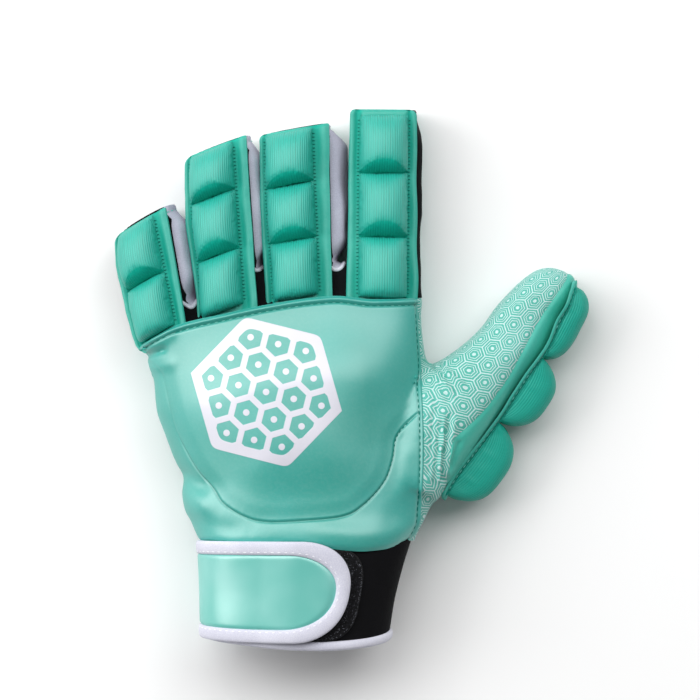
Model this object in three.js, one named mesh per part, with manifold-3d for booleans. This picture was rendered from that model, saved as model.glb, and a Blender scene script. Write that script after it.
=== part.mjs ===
// Left-hand field hockey glove, half fingers, back of the hand up.
// Millimetres, +Z up. The glove lies palm down: fingers to +Y, thumb to +X,
// the cloth of the palm and the finger fronts flat on z = 0.
import * as THREE from 'three';
import * as BufferGeometryUtils from 'three/addons/utils/BufferGeometryUtils.js';
import Module from 'manifold-3d';

const wasm = await Module();
wasm.setup();

// ---------------------------------------------------------------- dimensions
const GAP = 0.3;                 // clearance between two pieces that touch
const WALL = 1.6;                // cloth and lining
const BACK_WALL = 2.2;           // coated cloth of the back, at its thinnest
const DOME_RISE = 6.5;           // moulded foam on the back of the hand
const DOME = { x: -23, y: -11, rx: 44, ry: 41, edge: 0.3 };
const HEM_WALL = 2.6;            // folded edge of the back panel over the fingers
const SEAM_Z = 11;               // where the back panel meets the palm panel
const PRESS = 0.8;               // how far the resting cloth is flattened
const STRIP_THICK = 1.8;
const PAD_RISE = 7.6;
const SLIVER = 0.1;             // cuts leave no narrower facets than this
const MIDDLE = { x: 1.1, y: -0.05 };   // middle of the glove's box in plan, before it is moved to the origin
const ROUND = 2.6;               // squareness of the tube sections

// palm body from wrist to hem: y of the row at the middle of the hand, left
// and right side, top of the outer cloth without the foam, and how square the
// section is
const PALM = [
  { y: -57.6, left: -54.7, right: 23.0, top: 41.0, square: 2.4 },
  { y: -50.0, left: -57.4, right: 27.0, top: 39.5, square: 2.4 },
  { y: -42.0, left: -60.2, right: 31.0, top: 38.0, square: 2.4 },
  { y: -33.0, left: -60.5, right: 33.0, top: 37.0, square: 2.4 },
  { y: -24.0, left: -63.2, right: 33.0, top: 36.0, square: 2.4 },
  { y: -14.0, left: -66.4, right: 32.0, top: 35.2, square: 2.5 },
  { y: -3.0, left: -69.4, right: 30.0, top: 34.2, square: 2.6 },
  { y: 9.0, left: -70.6, right: 28.4, top: 32.6, square: 2.9 },
  { y: 20.0, left: -73.0, right: 27.0, top: 31.2, square: 3.3 },
  { y: 27.8, left: -76.2, right: 26.8, top: 30.2, square: 3.4 },
];
// the stitched hem at the top of the back panel, over the finger strips
const HEM = [
  { x: -77.0, y: 11.2 }, { x: -70.0, y: 15.8 }, { x: -61.0, y: 19.9 }, { x: -45.0, y: 23.6 },
  { x: -30.0, y: 26.8 }, { x: -14.0, y: 29.3 }, { x: -5.0, y: 30.0 }, { x: 8.0, y: 28.8 },
  { x: 28.0, y: 29.4 },
];
// right-hand seam of the back panel
const SEAM = [
  { y: -62.0, x: 21.0 }, { y: -57.6, x: 22.6 }, { y: -50.0, x: 25.2 }, { y: -40.0, x: 26.6 },
  { y: -25.0, x: 27.0 }, { y: -2.0, x: 26.3 }, { y: 20.0, x: 24.6 }, { y: 34.0, x: 24.2 },
];
// finger tubes: middle of the base and of the open end, roll of the finger's
// back towards the little finger's side in degrees, half width and half
// height at both ends, half width of the strip, skew of the pads' ends
const FINGERS = [
  { name: 'little', bx: -61.6, by: 1.0, tx: -72.2, ty: 58.0, roll: 22, aB: 11.4, aT: 9.6, bB: 11.2, bT: 9.2,
    strip: 10.6, tuck: 13.4, end: 57.6, skew: 0.33, pad: 7.6,
    pads: [{ y0: 55.6, y1: 37.0 }, { y0: 35.6, y1: 17.6 }] },
  { name: 'ring', bx: -41.0, by: 12.0, tx: -46.2, ty: 83.4, roll: 13, aB: 11.9, aT: 10.2, bB: 11.6, bT: 9.6,
    strip: 11.3, tuck: 15.0, end: 84.2, skew: 0.29, pad: 8.0,
    pads: [{ y0: 81.6, y1: 67.0 }, { y0: 65.6, y1: 45.6 }, { y0: 44.2, y1: 25.6 }] },
  { name: 'middle', bx: -16.6, by: 14.0, tx: -18.4, ty: 88.8, roll: 7, aB: 12.4, aT: 10.8, bB: 11.6, bT: 9.9,
    strip: 12.0, tuck: 20.0, end: 90.4, skew: 0.15, pad: 8.4,
    pads: [{ y0: 87.4, y1: 70.8 }, { y0: 69.4, y1: 50.6 }, { y0: 49.2, y1: 29.9 }] },
  { name: 'index', bx: 12.2, by: 14.0, tx: 12.9, ty: 95.4, roll: -2, aB: 12.4, aT: 10.8, bB: 11.6, bT: 9.9,
    strip: 12.6, tuck: 21.0, end: 97.3, skew: 0.0, pad: 8.4,
    pads: [{ y0: 93.8, y1: 74.6 }, { y0: 73.4, y1: 51.6 }, { y0: 50.2, y1: 29.9 }] },
];
// crotches between the fingers: how far the hand reaches between two fingers
const CROTCHES = [
  { name: 'ring_little', x: -55.6, y: 27.6, half: 9.5, top: 20.0 },
  { name: 'middle_ring', x: -31.6, y: 39.2, half: 10.0, top: 20.6 },
  { name: 'index_middle', x: -2.6, y: 41.6, half: 12.5, top: 20.6 },
];
// thumb stall from its tip to the ball of the thumb: left and right edge as
// seen from above, lowest and highest point
const THUMB = [
  { lx: 71.6, ly: 40.6, rx: 79.4, ry: 37.8, low: 5.5, top: 14.5 },
  { lx: 67.0, ly: 39.8, rx: 80.4, ry: 34.6, low: 2.4, top: 18.2 },
  { lx: 60.5, ly: 35.6, rx: 78.6, ry: 28.6, low: -0.4, top: 21.0 },
  { lx: 54.0, ly: 28.6, rx: 75.0, ry: 21.4, low: -0.8, top: 22.8 },
  { lx: 48.2, ly: 20.0, rx: 70.8, ry: 12.4, low: -0.8, top: 24.4 },
  { lx: 41.6, ly: 13.2, rx: 65.2, ry: 4.1, low: -0.8, top: 26.2 },
  { lx: 35.0, ly: 8.2, rx: 59.8, ry: -4.1, low: -0.8, top: 28.0 },
  { lx: 27.5, ly: 4.0, rx: 54.0, ry: -12.8, low: -0.8, top: 30.0 },
  { lx: 19.8, ly: -3.4, rx: 46.2, ry: -23.6, low: -0.8, top: 32.0 },
  { lx: 13.4, ly: -16.4, rx: 38.6, ry: -33.7, low: -0.8, top: 33.4 },
  { lx: 10.6, ly: -31.0, rx: 31.4, ry: -44.0, low: -0.8, top: 34.0 },
];
const THUMB_STRIP = { from: 0.75, to: 9.85, low: 2.0, high: 23.0, padLow: 3.4, padHigh: 21.8,
  pads: [{ v0: 1.2, v1: 4.35, rise: 7.6 }, { v0: 4.5, v1: 7.1, rise: 12.4 }, { v0: 7.25, v1: 9.7, rise: 14.2 }] };
// seam between the printed thumb front and the plain gusset, and between the
// thumb front and the palm
const GUSSET_SEAM = [
  { x: 77.2, y: 46.0 }, { x: 77.4, y: 37.6 }, { x: 73.4, y: 29.4 }, { x: 67.2, y: 19.4 }, { x: 61.2, y: 8.8 },
  { x: 54.8, y: -1.4 }, { x: 46.2, y: -13.0 }, { x: 38.4, y: -21.4 }, { x: 31.6, y: -31.0 }, { x: 28.4, y: -50.0 },
];
const THUMB_BASE = { x: 30.4, y: 8.0, x2: 28.0, y2: -50.0 };
// cuff rows along the wrist: side to side, low and high
const CUFF = [
  { y: -57.9, left: -53.4, right: 22.0, low: 4.6, top: 40.2 },
  { y: -68.0, left: -52.2, right: 18.4, low: 4.6, top: 39.4 },
  { y: -80.0, left: -51.6, right: 15.6, low: 4.6, top: 39.0 },
  { y: -91.4, left: -51.4, right: 14.4, low: 4.6, top: 38.8 },
];
const CUFF_WALL = 2.6;
const CUFF_SAG = 2.8;            // how much further the top of the wrist end reaches
const BINDING = { depth: 3.0, wall: 3.8 };
const STRAP = { top: -58.2, bottom: -91.6, lift: 1.9, thick: 2.3, binding: 4.8, endX: 0.4, backX: -6.0, nose: 17.5 };
const LOOP = { lift: 0.3, thick: 0.9, right: 4.2, left: -18.0, top: -60.4, bottom: -91.2, nose: 11.0 };

// ------------------------------------------------------------------- helpers
const lerp = (a, b, t) => a + (b - a) * t;
const smooth = (t) => { const c = Math.min(1, Math.max(0, t)); return c * c * (3 - 2 * c); };
const power = (c, e) => Math.sign(c) * Math.abs(c) ** e;

// value of a column at a place in a table, straight between the rows
function along(table, key, at, column) {
  const up = table[table.length - 1][key] > table[0][key];
  for (let i = 1; i < table.length; i += 1) {
    const a = table[i - 1];
    const b = table[i];
    const inside = up ? at <= b[key] : at >= b[key];
    if (inside || i === table.length - 1) {
      const t = Math.min(1, Math.max(0, (at - a[key]) / (b[key] - a[key])));
      return lerp(a[column], b[column], t);
    }
  }
  return table[0][column];
}
// a row of a table at a fractional index
function rowAt(table, v) {
  const c = Math.min(table.length - 1.0001, Math.max(0, v));
  const i = Math.floor(c);
  const row = {};
  for (const k of Object.keys(table[i])) row[k] = lerp(table[i][k], table[i + 1][k], c - i);
  return row;
}

// closed solid through rings of equal length, with flat end caps
function loft(rings) {
  const n = rings[0].length;
  const pos = [];
  const idx = [];
  rings.forEach((r) => r.forEach((p) => pos.push(p[0], p[1], p[2])));
  for (let j = 0; j + 1 < rings.length; j += 1) {
    for (let i = 0; i < n; i += 1) {
      const a = j * n + i;
      const b = j * n + ((i + 1) % n);
      idx.push(a, b, a + n, b, b + n, a + n);
    }
  }
  [0, rings.length - 1].forEach((j) => {
    const c = pos.length / 3;
    const mid = [0, 1, 2].map((k) => rings[j].reduce((s, p) => s + p[k], 0) / n);
    pos.push(...mid);
    for (let i = 0; i < n; i += 1) {
      const a = j * n + i;
      const b = j * n + ((i + 1) % n);
      if (j === 0) idx.push(c, b, a); else idx.push(c, a, b);
    }
  });
  return closed(pos, idx);
}
// closed solid between an outer and an inner sheet over the same grid
function sheet(nu, nv, outer, inner) {
  const pos = [];
  const idx = [];
  const m = nv + 1;
  [outer, inner].forEach((f) => {
    for (let i = 0; i <= nu; i += 1) for (let j = 0; j <= nv; j += 1) pos.push(...f(i / nu, j / nv));
  });
  const half = (nu + 1) * m;
  for (let i = 0; i < nu; i += 1) {
    for (let j = 0; j < nv; j += 1) {
      const a = i * m + j;
      idx.push(a, a + m, a + 1, a + m, a + m + 1, a + 1);
      idx.push(half + a, half + a + 1, half + a + m, half + a + m, half + a + 1, half + a + m + 1);
    }
  }
  const rim = [];
  for (let i = 0; i < nu; i += 1) rim.push(i * m);
  for (let j = 0; j < nv; j += 1) rim.push(nu * m + j);
  for (let i = nu; i > 0; i -= 1) rim.push(i * m + nv);
  for (let j = nv; j > 0; j -= 1) rim.push(j);
  rim.forEach((a, k) => {
    const b = rim[(k + 1) % rim.length];
    idx.push(a, half + a, b, b, half + a, half + b);
  });
  return closed(pos, idx);
}
function closed(pos, idx) {
  const g = new THREE.BufferGeometry();
  g.setAttribute('position', new THREE.Float32BufferAttribute(pos, 3));
  g.setIndex(idx);
  const merged = BufferGeometryUtils.mergeVertices(g, 1e-4);
  const p = merged.getAttribute('position');
  const q = merged.getIndex();
  const keep = [];
  for (let i = 0; i < q.count; i += 3) {
    const [a, b, c] = [q.getX(i), q.getX(i + 1), q.getX(i + 2)];
    if (a !== b && b !== c && a !== c) keep.push(a, b, c);
  }
  let volume = 0;
  const v = (i) => new THREE.Vector3().fromBufferAttribute(p, i);
  for (let i = 0; i < keep.length; i += 3) volume += v(keep[i]).dot(v(keep[i + 1]).cross(v(keep[i + 2])));
  if (volume < 0) for (let i = 0; i < keep.length; i += 3) [keep[i], keep[i + 1]] = [keep[i + 1], keep[i]];
  const out = new THREE.BufferGeometry();
  out.setAttribute('position', p);
  out.setIndex(keep);
  return out;
}
function solid(geometry) {
  const g = geometry.clone();
  g.deleteAttribute('normal');
  g.deleteAttribute('uv');
  const m = BufferGeometryUtils.mergeVertices(g, 1e-4);
  return new wasm.Manifold(new wasm.Mesh({
    numProp: 3,
    vertProperties: new Float32Array(m.getAttribute('position').array),
    triVerts: new Uint32Array(m.getIndex().array),
  }));
}
function geometryOf(manifold) {
  const mesh = manifold.getMesh();
  const g = new THREE.BufferGeometry();
  g.setAttribute('position', new THREE.Float32BufferAttribute(mesh.vertProperties, 3));
  g.setIndex(Array.from(mesh.triVerts));
  return g;
}
const join = (list) => list.reduce((a, b) => a.add(b));
const cut = (body, list) => list.reduce((a, b) => a.subtract(b), body);
// the biggest body of a cut piece, without the crumbs
function largest(manifold) {
  const biggest = (m) => m.decompose().sort((a, b) => b.volume() - a.volume())[0];
  return biggest(biggest(manifold).simplify(SLIVER));
}
// upright prism over a closed outline of x, y points
function prism(outline, z0, z1) {
  const shape = new THREE.Shape(outline.map((p) => new THREE.Vector2(p[0], p[1])));
  const g = new THREE.ExtrudeGeometry(shape, { depth: z1 - z0, bevelEnabled: false });
  g.translate(0, 0, z0);
  return solid(g);
}

const group = new THREE.Group();
group.position.set(-MIDDLE.x, -MIDDLE.y, 0);
const finish = {
  mint: new THREE.MeshStandardMaterial({ color: 0x5fc7ad, roughness: 0.45, metalness: 0 }),
  knit: new THREE.MeshStandardMaterial({ color: 0x4fbfa2, roughness: 0.85, metalness: 0 }),
  print: new THREE.MeshStandardMaterial({ color: 0xa8ddcf, roughness: 0.7, metalness: 0 }),
  black: new THREE.MeshStandardMaterial({ color: 0x17181c, roughness: 0.9, metalness: 0 }),
  white: new THREE.MeshStandardMaterial({ color: 0xe4e2ea, roughness: 0.7, metalness: 0 }),
};
function place(name, geometry, material) {
  const mesh = new THREE.Mesh(geometry, material);
  mesh.name = name;
  group.add(mesh);
}

// -------------------------------------------------------------- hand body
// one ring of a flattened tube: grow < 0 gives the hollow
function dome(x, y) {
  const r = Math.hypot((x - DOME.x) / DOME.rx, (y - DOME.y) / DOME.ry);
  return DOME_RISE * smooth((1 - r) / DOME.edge);
}
const hemY = (x) => along(HEM, 'x', x, 'y');
function palmRing(row, inner, count) {
  const wall = inner ? WALL : 0;
  const a = (row.right - row.left) / 2 - wall;
  const cx = (row.right + row.left) / 2;
  const top = row.top - (inner ? BACK_WALL : 0);
  const low = inner ? WALL - PRESS : -PRESS;
  const cz = row.top * 0.4;
  const ring = [];
  for (let i = 0; i < count; i += 1) {
    const t = (i / count) * Math.PI * 2;
    const x = cx + a * power(Math.cos(t), 2 / ROUND);
    const s = power(Math.sin(t), 2 / row.square);
    let z = s > 0 ? cz + (top - cz) * s : cz + (cz - low) * s;
    const reach = (row.y - PALM[0].y) / (PALM[PALM.length - 1].y - PALM[0].y);
    const y = lerp(PALM[0].y, hemY(x), reach) - (row.short || 0);
    if (!inner && s > 0) z += dome(x, y) * smooth(s * 1.6);
    z = Math.max(z, inner ? WALL : 0);
    ring.push([x, y, z]);
  }
  return ring;
}
function palmBody(inner) {
  const rows = PALM.map((r) => ({ ...r }));
  if (inner) {
    rows.unshift({ ...rows[0], y: rows[0].y - 4 });
    rows[rows.length - 1].short = HEM_WALL;
  }
  return solid(loft(rows.map((r) => palmRing(r, inner, 32))));
}

function tubeRing(frame, v, grow, count, press) {
  const a = lerp(frame.aB, frame.aT, v) + grow;
  const b = lerp(frame.bB, frame.bT, v) + grow;
  const c = frame.centre(v);
  const ring = [];
  for (let i = 0; i < count; i += 1) {
    const t = (i / count) * Math.PI * 2;
    const p = c.clone()
      .addScaledVector(frame.across, a * power(Math.cos(t), 2 / ROUND))
      .addScaledVector(frame.up, b * power(Math.sin(t), 2 / ROUND));
    ring.push([p.x, p.y, Math.max(p.z, press)]);
  }
  return ring;
}
function fingerFrame(f) {
  const dir = new THREE.Vector3(f.tx - f.bx, f.ty - f.by, 0);
  const length = dir.length();
  dir.normalize();
  const side = new THREE.Vector3(dir.y, -dir.x, 0);
  const roll = THREE.MathUtils.degToRad(f.roll);
  const across = side.clone().multiplyScalar(Math.cos(roll)).add(new THREE.Vector3(0, 0, Math.sin(roll)));
  const up = side.clone().multiplyScalar(-Math.sin(roll)).add(new THREE.Vector3(0, 0, Math.cos(roll)));
  const depth = (v) => {
    let low = 0;
    for (let i = 0; i < 48; i += 1) {
      const t = (i / 48) * Math.PI * 2;
      const z = lerp(f.aB, f.aT, v) * power(Math.cos(t), 2 / ROUND) * across.z
        + lerp(f.bB, f.bT, v) * power(Math.sin(t), 2 / ROUND) * up.z;
      low = Math.max(low, -z);
    }
    return low;
  };
  const centre = (v) => new THREE.Vector3(lerp(f.bx, f.tx, v), lerp(f.by, f.ty, v), depth(v) - PRESS);
  // v of a place along the finger that lies at height y in plan
  const vOf = (y) => (y - f.by) / (f.ty - f.by);
  return { ...f, dir, side, across, up, centre, length, vOf };
}
const fingers = FINGERS.map(fingerFrame);
function fingerBody(f, inner) {
  const stops = inner ? [0, 0.33, 0.66, 1.06] : [0, 0.33, 0.66, 1];
  return solid(loft(stops.map((v) => tubeRing(f, v, inner ? -WALL : 0, 18, inner ? WALL : 0))));
}
function crotchBody(c, inner) {
  const w = inner ? WALL : 0;
  const rows = [{ y: 5.7, k: 1 }, { y: c.y - 5 - w, k: 1 }, { y: c.y - w, k: 0.72 }];
  return solid(loft(rows.map((r) => {
    const ring = [];
    for (let i = 0; i < 16; i += 1) {
      const t = (i / 16) * Math.PI * 2;
      const b = ((c.top + PRESS) / 2 - w) * (0.5 + 0.5 * r.k);
      ring.push([c.x + (c.half - w) * power(Math.cos(t), 0.75), r.y,
        Math.max((c.top - PRESS) / 2 + b * power(Math.sin(t), 0.75), inner ? WALL : 0)]);
    }
    return ring;
  })));
}
function thumbRing(row, grow, count) {
  const dx = row.rx - row.lx;
  const dy = row.ry - row.ly;
  const w = Math.hypot(dx, dy);
  const a = w / 2 + grow;
  const b = (row.top - row.low) / 2 + grow;
  const ring = [];
  for (let i = 0; i < count; i += 1) {
    const t = (i / count) * Math.PI * 2;
    const k = a * power(Math.cos(t), 2 / ROUND);
    const z = (row.top + row.low) / 2 + b * power(Math.sin(t), 2 / ROUND);
    ring.push([(row.lx + row.rx) / 2 + (dx / w) * k, (row.ly + row.ry) / 2 + (dy / w) * k,
      Math.max(z, grow < 0 ? WALL : 0)]);
  }
  return ring;
}
function thumbBody(inner) {
  const rows = inner ? THUMB.slice(1) : THUMB;
  return solid(loft(rows.map((r) => thumbRing(r, inner ? -WALL : 0, 24))));
}

const outer = join([palmBody(false), ...fingers.map((f) => fingerBody(f, false)),
  ...CROTCHES.map((c) => crotchBody(c, false)), thumbBody(false)]);
const hollow = join([palmBody(true), ...fingers.map((f) => fingerBody(f, true)),
  ...CROTCHES.map((c) => crotchBody(c, true)), thumbBody(true)]);
const shell = outer.subtract(hollow);

// ------------------------------------------------------------------ regions
const HEM_LIP = 1.0;
// grow makes the copy that a neighbour is cut with
function backRegion(grow) {
  const outline = [[-95, -58 - 4], [along(SEAM, 'y', -60, 'x') + grow, -62]];
  SEAM.slice(1, -1).forEach((r) => outline.push([r.x + grow, r.y]));
  HEM.slice().reverse().forEach((r) => outline.push([Math.min(r.x, 24.4) + (r.x > 24 ? grow : 0), r.y + HEM_LIP + grow]));
  outline.push([-95, HEM[0].y + HEM_LIP + grow]);
  return prism(outline, SEAM_Z - grow, 80);
}
function fingerBox(f, t0, t1, n0, n1, y0, y1) {
  const v0 = f.vOf(y0);
  const v1 = f.vOf(y1);
  const base = f.centre(v0);
  const tip = f.centre(v1);
  const pos = [];
  [base, tip].forEach((c) => {
    [[t0, n0], [t1, n0], [t1, n1], [t0, n1]].forEach(([t, n]) => {
      const p = c.clone().addScaledVector(f.across, t).addScaledVector(f.up, n);
      pos.push([p.x, p.y, p.z]);
    });
  });
  return solid(loft([pos.slice(0, 4), pos.slice(4)]));
}
// edges of the side strips, across the finger's back
const SIDE = { low: -3.6, high: 6.0 };
function fourchetteRegion(k, grow) {
  const c = CROTCHES[k];
  const left = fingers[k];
  const right = fingers[k + 1];
  const y0 = c.y - 4.5 - grow;
  return join([
    fingerBox(left, 1, 30, SIDE.low - grow, SIDE.high + grow, y0, 110),
    fingerBox(right, -30, -1, SIDE.low - grow, SIDE.high + grow, y0, 110),
    prism([[c.x - c.half - 2, y0], [c.x + c.half + 2, y0], [c.x + c.half + 2, c.y + 6], [c.x - c.half - 2, c.y + 6]],
      6.2 - grow, 16.6 + grow),
  ]);
}
function liningRegion(grow) {
  const parts = fingers.map((f) => fingerBox(f, -30, 30, SIDE.high - grow + GAP, 40, f.by, 110));
  // the outer side of the little finger and of the index finger
  parts.push(fingerBox(fingers[0], -30, -1, SIDE.low - grow, 40, fingers[0].by, 110));
  parts.push(fingerBox(fingers[3], 1, 30, SIDE.low - grow, 40, fingers[3].by, 110));
  CROTCHES.forEach((c) => parts.push(prism([[c.x - c.half - 3, 4], [c.x + c.half + 3, 4],
    [c.x + c.half + 3, c.y + 3], [c.x - c.half - 3, c.y + 3]], 6.2 - grow, 60)));
  const area = [[-95, -20]];
  HEM.forEach((r) => area.push([r.x, r.y + HEM_LIP + GAP - grow]));
  area.push([95, 29.4 + HEM_LIP + GAP - grow], [95, 120], [-95, 120]);
  area[0] = [-95, HEM[0].y + HEM_LIP + GAP - grow];
  return join(parts).intersect(prism(area, -5, 80));
}
function thumbRegion(grow) {
  const b = THUMB_BASE;
  return prism([[b.x - grow, 60], [b.x - grow, b.y], [b.x2 - grow, -25], [b.x2 - grow, b.y2 - grow], [120, b.y2 - grow], [120, 60]], -5, 80);
}
function gussetRegion(grow) {
  const outline = GUSSET_SEAM.map((r) => [r.x - grow, r.y]);
  outline.push([120, -50], [120, 46]);
  return prism(outline, -5, 80);
}

// --------------------------------------------------------- strips and pads
function stripPoint(f, y, t, lift) {
  const v = f.vOf(y);
  const b = lerp(f.bB, f.bT, v);
  const c = f.centre(v);
  const q = c.addScaledVector(f.dir, t * f.skew)
    .addScaledVector(f.across, t)
    .addScaledVector(f.up, b + lift - 0.011 * t * t);
  return [q.x, q.y, q.z];
}
function stripSolid(f, grow) {
  const w = f.strip + grow;
  const at = (lift) => (u, v) => {
    const t = lerp(-w, w, u);
    return stripPoint(f, lerp(f.tuck - grow, f.end + grow, v), t, lift);
  };
  return sheet(4, 5, at(0.35 + STRIP_THICK + grow), at(0.35 - grow));
}
function padSolid(f, pad) {
  const base = 0.35 + STRIP_THICK + GAP;
  const at = (top) => (u, v) => {
    const s = u * 2 - 1;
    const q = v * 2 - 1;
    const body = Math.sqrt(Math.max(0, 1 - Math.abs(s) ** 3.2)) * Math.sqrt(Math.max(0, 1 - Math.abs(q) ** 3));
    return stripPoint(f, lerp(pad.y1, pad.y0, v), s * f.pad, base + (top ? 0.5 + (PAD_RISE - 0.5) * body : 0));
  };
  return sheet(6, 6, at(true), at(false));
}
// thumb strip: stands on edge along the right side of the thumb
function thumbSide(v, z, lift) {
  const row = rowAt(THUMB, v);
  const dx = row.rx - row.lx;
  const dy = row.ry - row.ly;
  const w = Math.hypot(dx, dy);
  const before = rowAt(THUMB, v - 0.5);
  const after = rowAt(THUMB, v + 0.5);
  const tx = after.rx - before.rx;
  const ty = after.ry - before.ry;
  const tl = Math.hypot(tx, ty);
  const nx = -ty / tl;
  const ny = tx / tl;
  const s = Math.sign(nx * dx + ny * dy);
  return [row.rx + nx * s * (lift + 0.4) + 0 * w, row.ry + ny * s * (lift + 0.4), z];
}
function thumbStripSolid(grow) {
  const s = THUMB_STRIP;
  const at = (lift) => (u, v) => thumbSide(lerp(s.from, s.to, v), lerp(s.low - grow, s.high + grow, u), lift);
  return sheet(2, 10, at(STRIP_THICK + grow), at(-grow));
}
function thumbPadSolid(pad) {
  const s = THUMB_STRIP;
  const at = (top) => (u, v) => {
    const p = u * 2 - 1;
    const q = v * 2 - 1;
    const body = Math.sqrt(Math.max(0, 1 - Math.abs(p) ** 3.2)) * Math.sqrt(Math.max(0, 1 - Math.abs(q) ** 2.4));
    return thumbSide(lerp(pad.v0, pad.v1, v), lerp(s.padLow, s.padHigh, u),
      STRIP_THICK + GAP + (top ? 0.4 + (pad.rise - 0.4) * body : 0));
  };
  return sheet(6, 7, at(true), at(false));
}

const strips = fingers.map((f) => stripSolid(f, 0));
const thumbStrip = thumbStripSolid(0);
const stripCutters = [...fingers.map((f) => solid(stripSolid(f, GAP))), solid(thumbStripSolid(GAP))];
const bare = cut(shell, stripCutters);

const regions = {
  back: backRegion(0),
  fourchettes: CROTCHES.map((c, k) => fourchetteRegion(k, 0)),
  lining: liningRegion(0),
  thumb: thumbRegion(0),
  gusset: gussetRegion(0),
};
const wide = {
  back: backRegion(GAP),
  fourchettes: CROTCHES.map((c, k) => fourchetteRegion(k, GAP)),
  lining: liningRegion(GAP),
  thumb: thumbRegion(GAP),
  gusset: gussetRegion(GAP),
};
const backPanel = largest(bare.intersect(regions.back));
const fourchettes = regions.fourchettes.map((r) => largest(cut(bare.intersect(r), [wide.back])));
const lining = largest(cut(bare.intersect(regions.lining), [wide.back, ...wide.fourchettes]));
const thumbAll = cut(bare.intersect(regions.thumb), [wide.back, wide.lining, ...wide.fourchettes]);
const thumbFront = largest(cut(thumbAll, [wide.gusset]));
const thumbGusset = largest(thumbAll.intersect(regions.gusset));
const palmPanel = largest(cut(bare, [wide.back, wide.lining, ...wide.fourchettes, wide.thumb]));

place('back_panel', geometryOf(backPanel), finish.mint);
place('palm_panel', geometryOf(palmPanel), finish.print);
place('thumb_front', geometryOf(thumbFront), finish.print);
place('thumb_gusset', geometryOf(thumbGusset), finish.mint);
CROTCHES.forEach((c, k) => place(`fourchette_${c.name}`, geometryOf(fourchettes[k]), finish.white));
place('finger_lining', geometryOf(lining), finish.black);
fingers.forEach((f, k) => {
  place(`${f.name}_strip`, strips[k], finish.mint);
  f.pads.forEach((p, i) => place(`${f.name}_pad_${i + 1}`, padSolid(f, p), finish.knit));
});
place('thumb_strip', thumbStrip, finish.mint);
THUMB_STRIP.pads.forEach((p, i) => place(`thumb_pad_${i + 1}`, thumbPadSolid(p), finish.knit));

// --------------------------------------------------------- cuff and strap
// point of the wrist section at an angle: 0 is the right side, 90 the top
function cuffPoint(row, t, lift) {
  const a = (row.right - row.left) / 2;
  const b = (row.top - row.low) / 2;
  const c = Math.cos(t);
  const s = Math.sin(t);
  const x = a * power(c, 0.85);
  const z = b * power(s, 0.85);
  const nx = power(c, 1.15) / a;
  const nz = power(s, 1.15) / b;
  const n = Math.hypot(nx, nz);
  return [(row.right + row.left) / 2 + x + (nx / n) * lift, (row.top + row.low) / 2 + z + (nz / n) * lift, s];
}
function cuffRowAtY(y) {
  return { left: along(CUFF, 'y', y, 'left'), right: along(CUFF, 'y', y, 'right'),
    low: along(CUFF, 'y', y, 'low'), top: along(CUFF, 'y', y, 'top') };
}
// the wrist end of the cuff and of the strap sags towards the wrist on top
const sag = (y, s) => y - CUFF_SAG * Math.max(0, s) * smooth((CUFF[0].y - y) / 34);
function onCuff(t, y, lift) {
  const [x, z, s] = cuffPoint(cuffRowAtY(y), t, lift);
  return [x, sag(y, s), z];
}
function ringSolid(y0, y1, steps, lift0, lift1, count) {
  const rings = [];
  const add = (y, lift) => {
    const r = [];
    for (let i = 0; i < count; i += 1) r.push(onCuff((i / count) * Math.PI * 2, y, lift));
    rings.push(r);
  };
  for (let j = 0; j <= steps; j += 1) add(lerp(y0, y1, j / steps), lift1);
  for (let j = steps; j >= 0; j -= 1) add(lerp(y0, y1, j / steps), lift0);
  const pos = [];
  const idx = [];
  rings.forEach((r) => r.forEach((p) => pos.push(...p)));
  for (let j = 0; j < rings.length; j += 1) {
    for (let i = 0; i < count; i += 1) {
      const a = j * count + i;
      const b = j * count + ((i + 1) % count);
      const c = ((j + 1) % rings.length) * count;
      idx.push(a, b, c + i, b, c + ((i + 1) % count), c + i);
    }
  }
  return closed(pos, idx);
}
const CUFF_END = CUFF[CUFF.length - 1].y;
place('cuff', ringSolid(CUFF[0].y, CUFF_END, 3, -CUFF_WALL, 0, 32), finish.black);
place('cuff_binding', ringSolid(CUFF_END - GAP, CUFF_END - GAP - BINDING.depth, 1, -CUFF_WALL - 0.5, BINDING.wall - CUFF_WALL - 0.5, 32), finish.white);

// angle of the wrist section at which the top (or underside) lies at x
function angleAt(x, under) {
  const row = cuffRowAtY(-76);
  const c = ((x - (row.right + row.left) / 2) / ((row.right - row.left) / 2));
  const t = Math.acos(Math.sign(c) * Math.min(1, Math.abs(c)) ** (1 / 0.85));
  return under ? Math.PI * 2 - t : t;
}
const strapMid = (STRAP.top + STRAP.bottom) / 2;
const strapHalf = (STRAP.top - STRAP.bottom) / 2;
// the strap's outline: across runs from -1 at the wrist end to 1, nose is the rounded end
function strapX(across, inset) {
  const half = 1 - inset / strapHalf;
  const k = Math.min(1, Math.abs(across) / half);
  return STRAP.endX - inset - STRAP.nose * (1 - Math.sqrt(Math.max(0, 1 - k ** 2.4)));
}
function strapSheet(inset) {
  const half = strapHalf - inset;
  const at = (lift) => (u, v) => {
    const q = lerp(-1, 1, v);
    const k = (q * half) / strapHalf;
    const t0 = angleAt(strapX(k, inset), false);
    const t1 = angleAt(STRAP.backX, true);
    return onCuff(lerp(t0, t1, u), strapMid + q * half, lift);
  };
  return sheet(16, 6, at(STRAP.lift + STRAP.thick), at(STRAP.lift));
}
place('wrist_strap', strapSheet(STRAP.binding + GAP), finish.mint);
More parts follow.
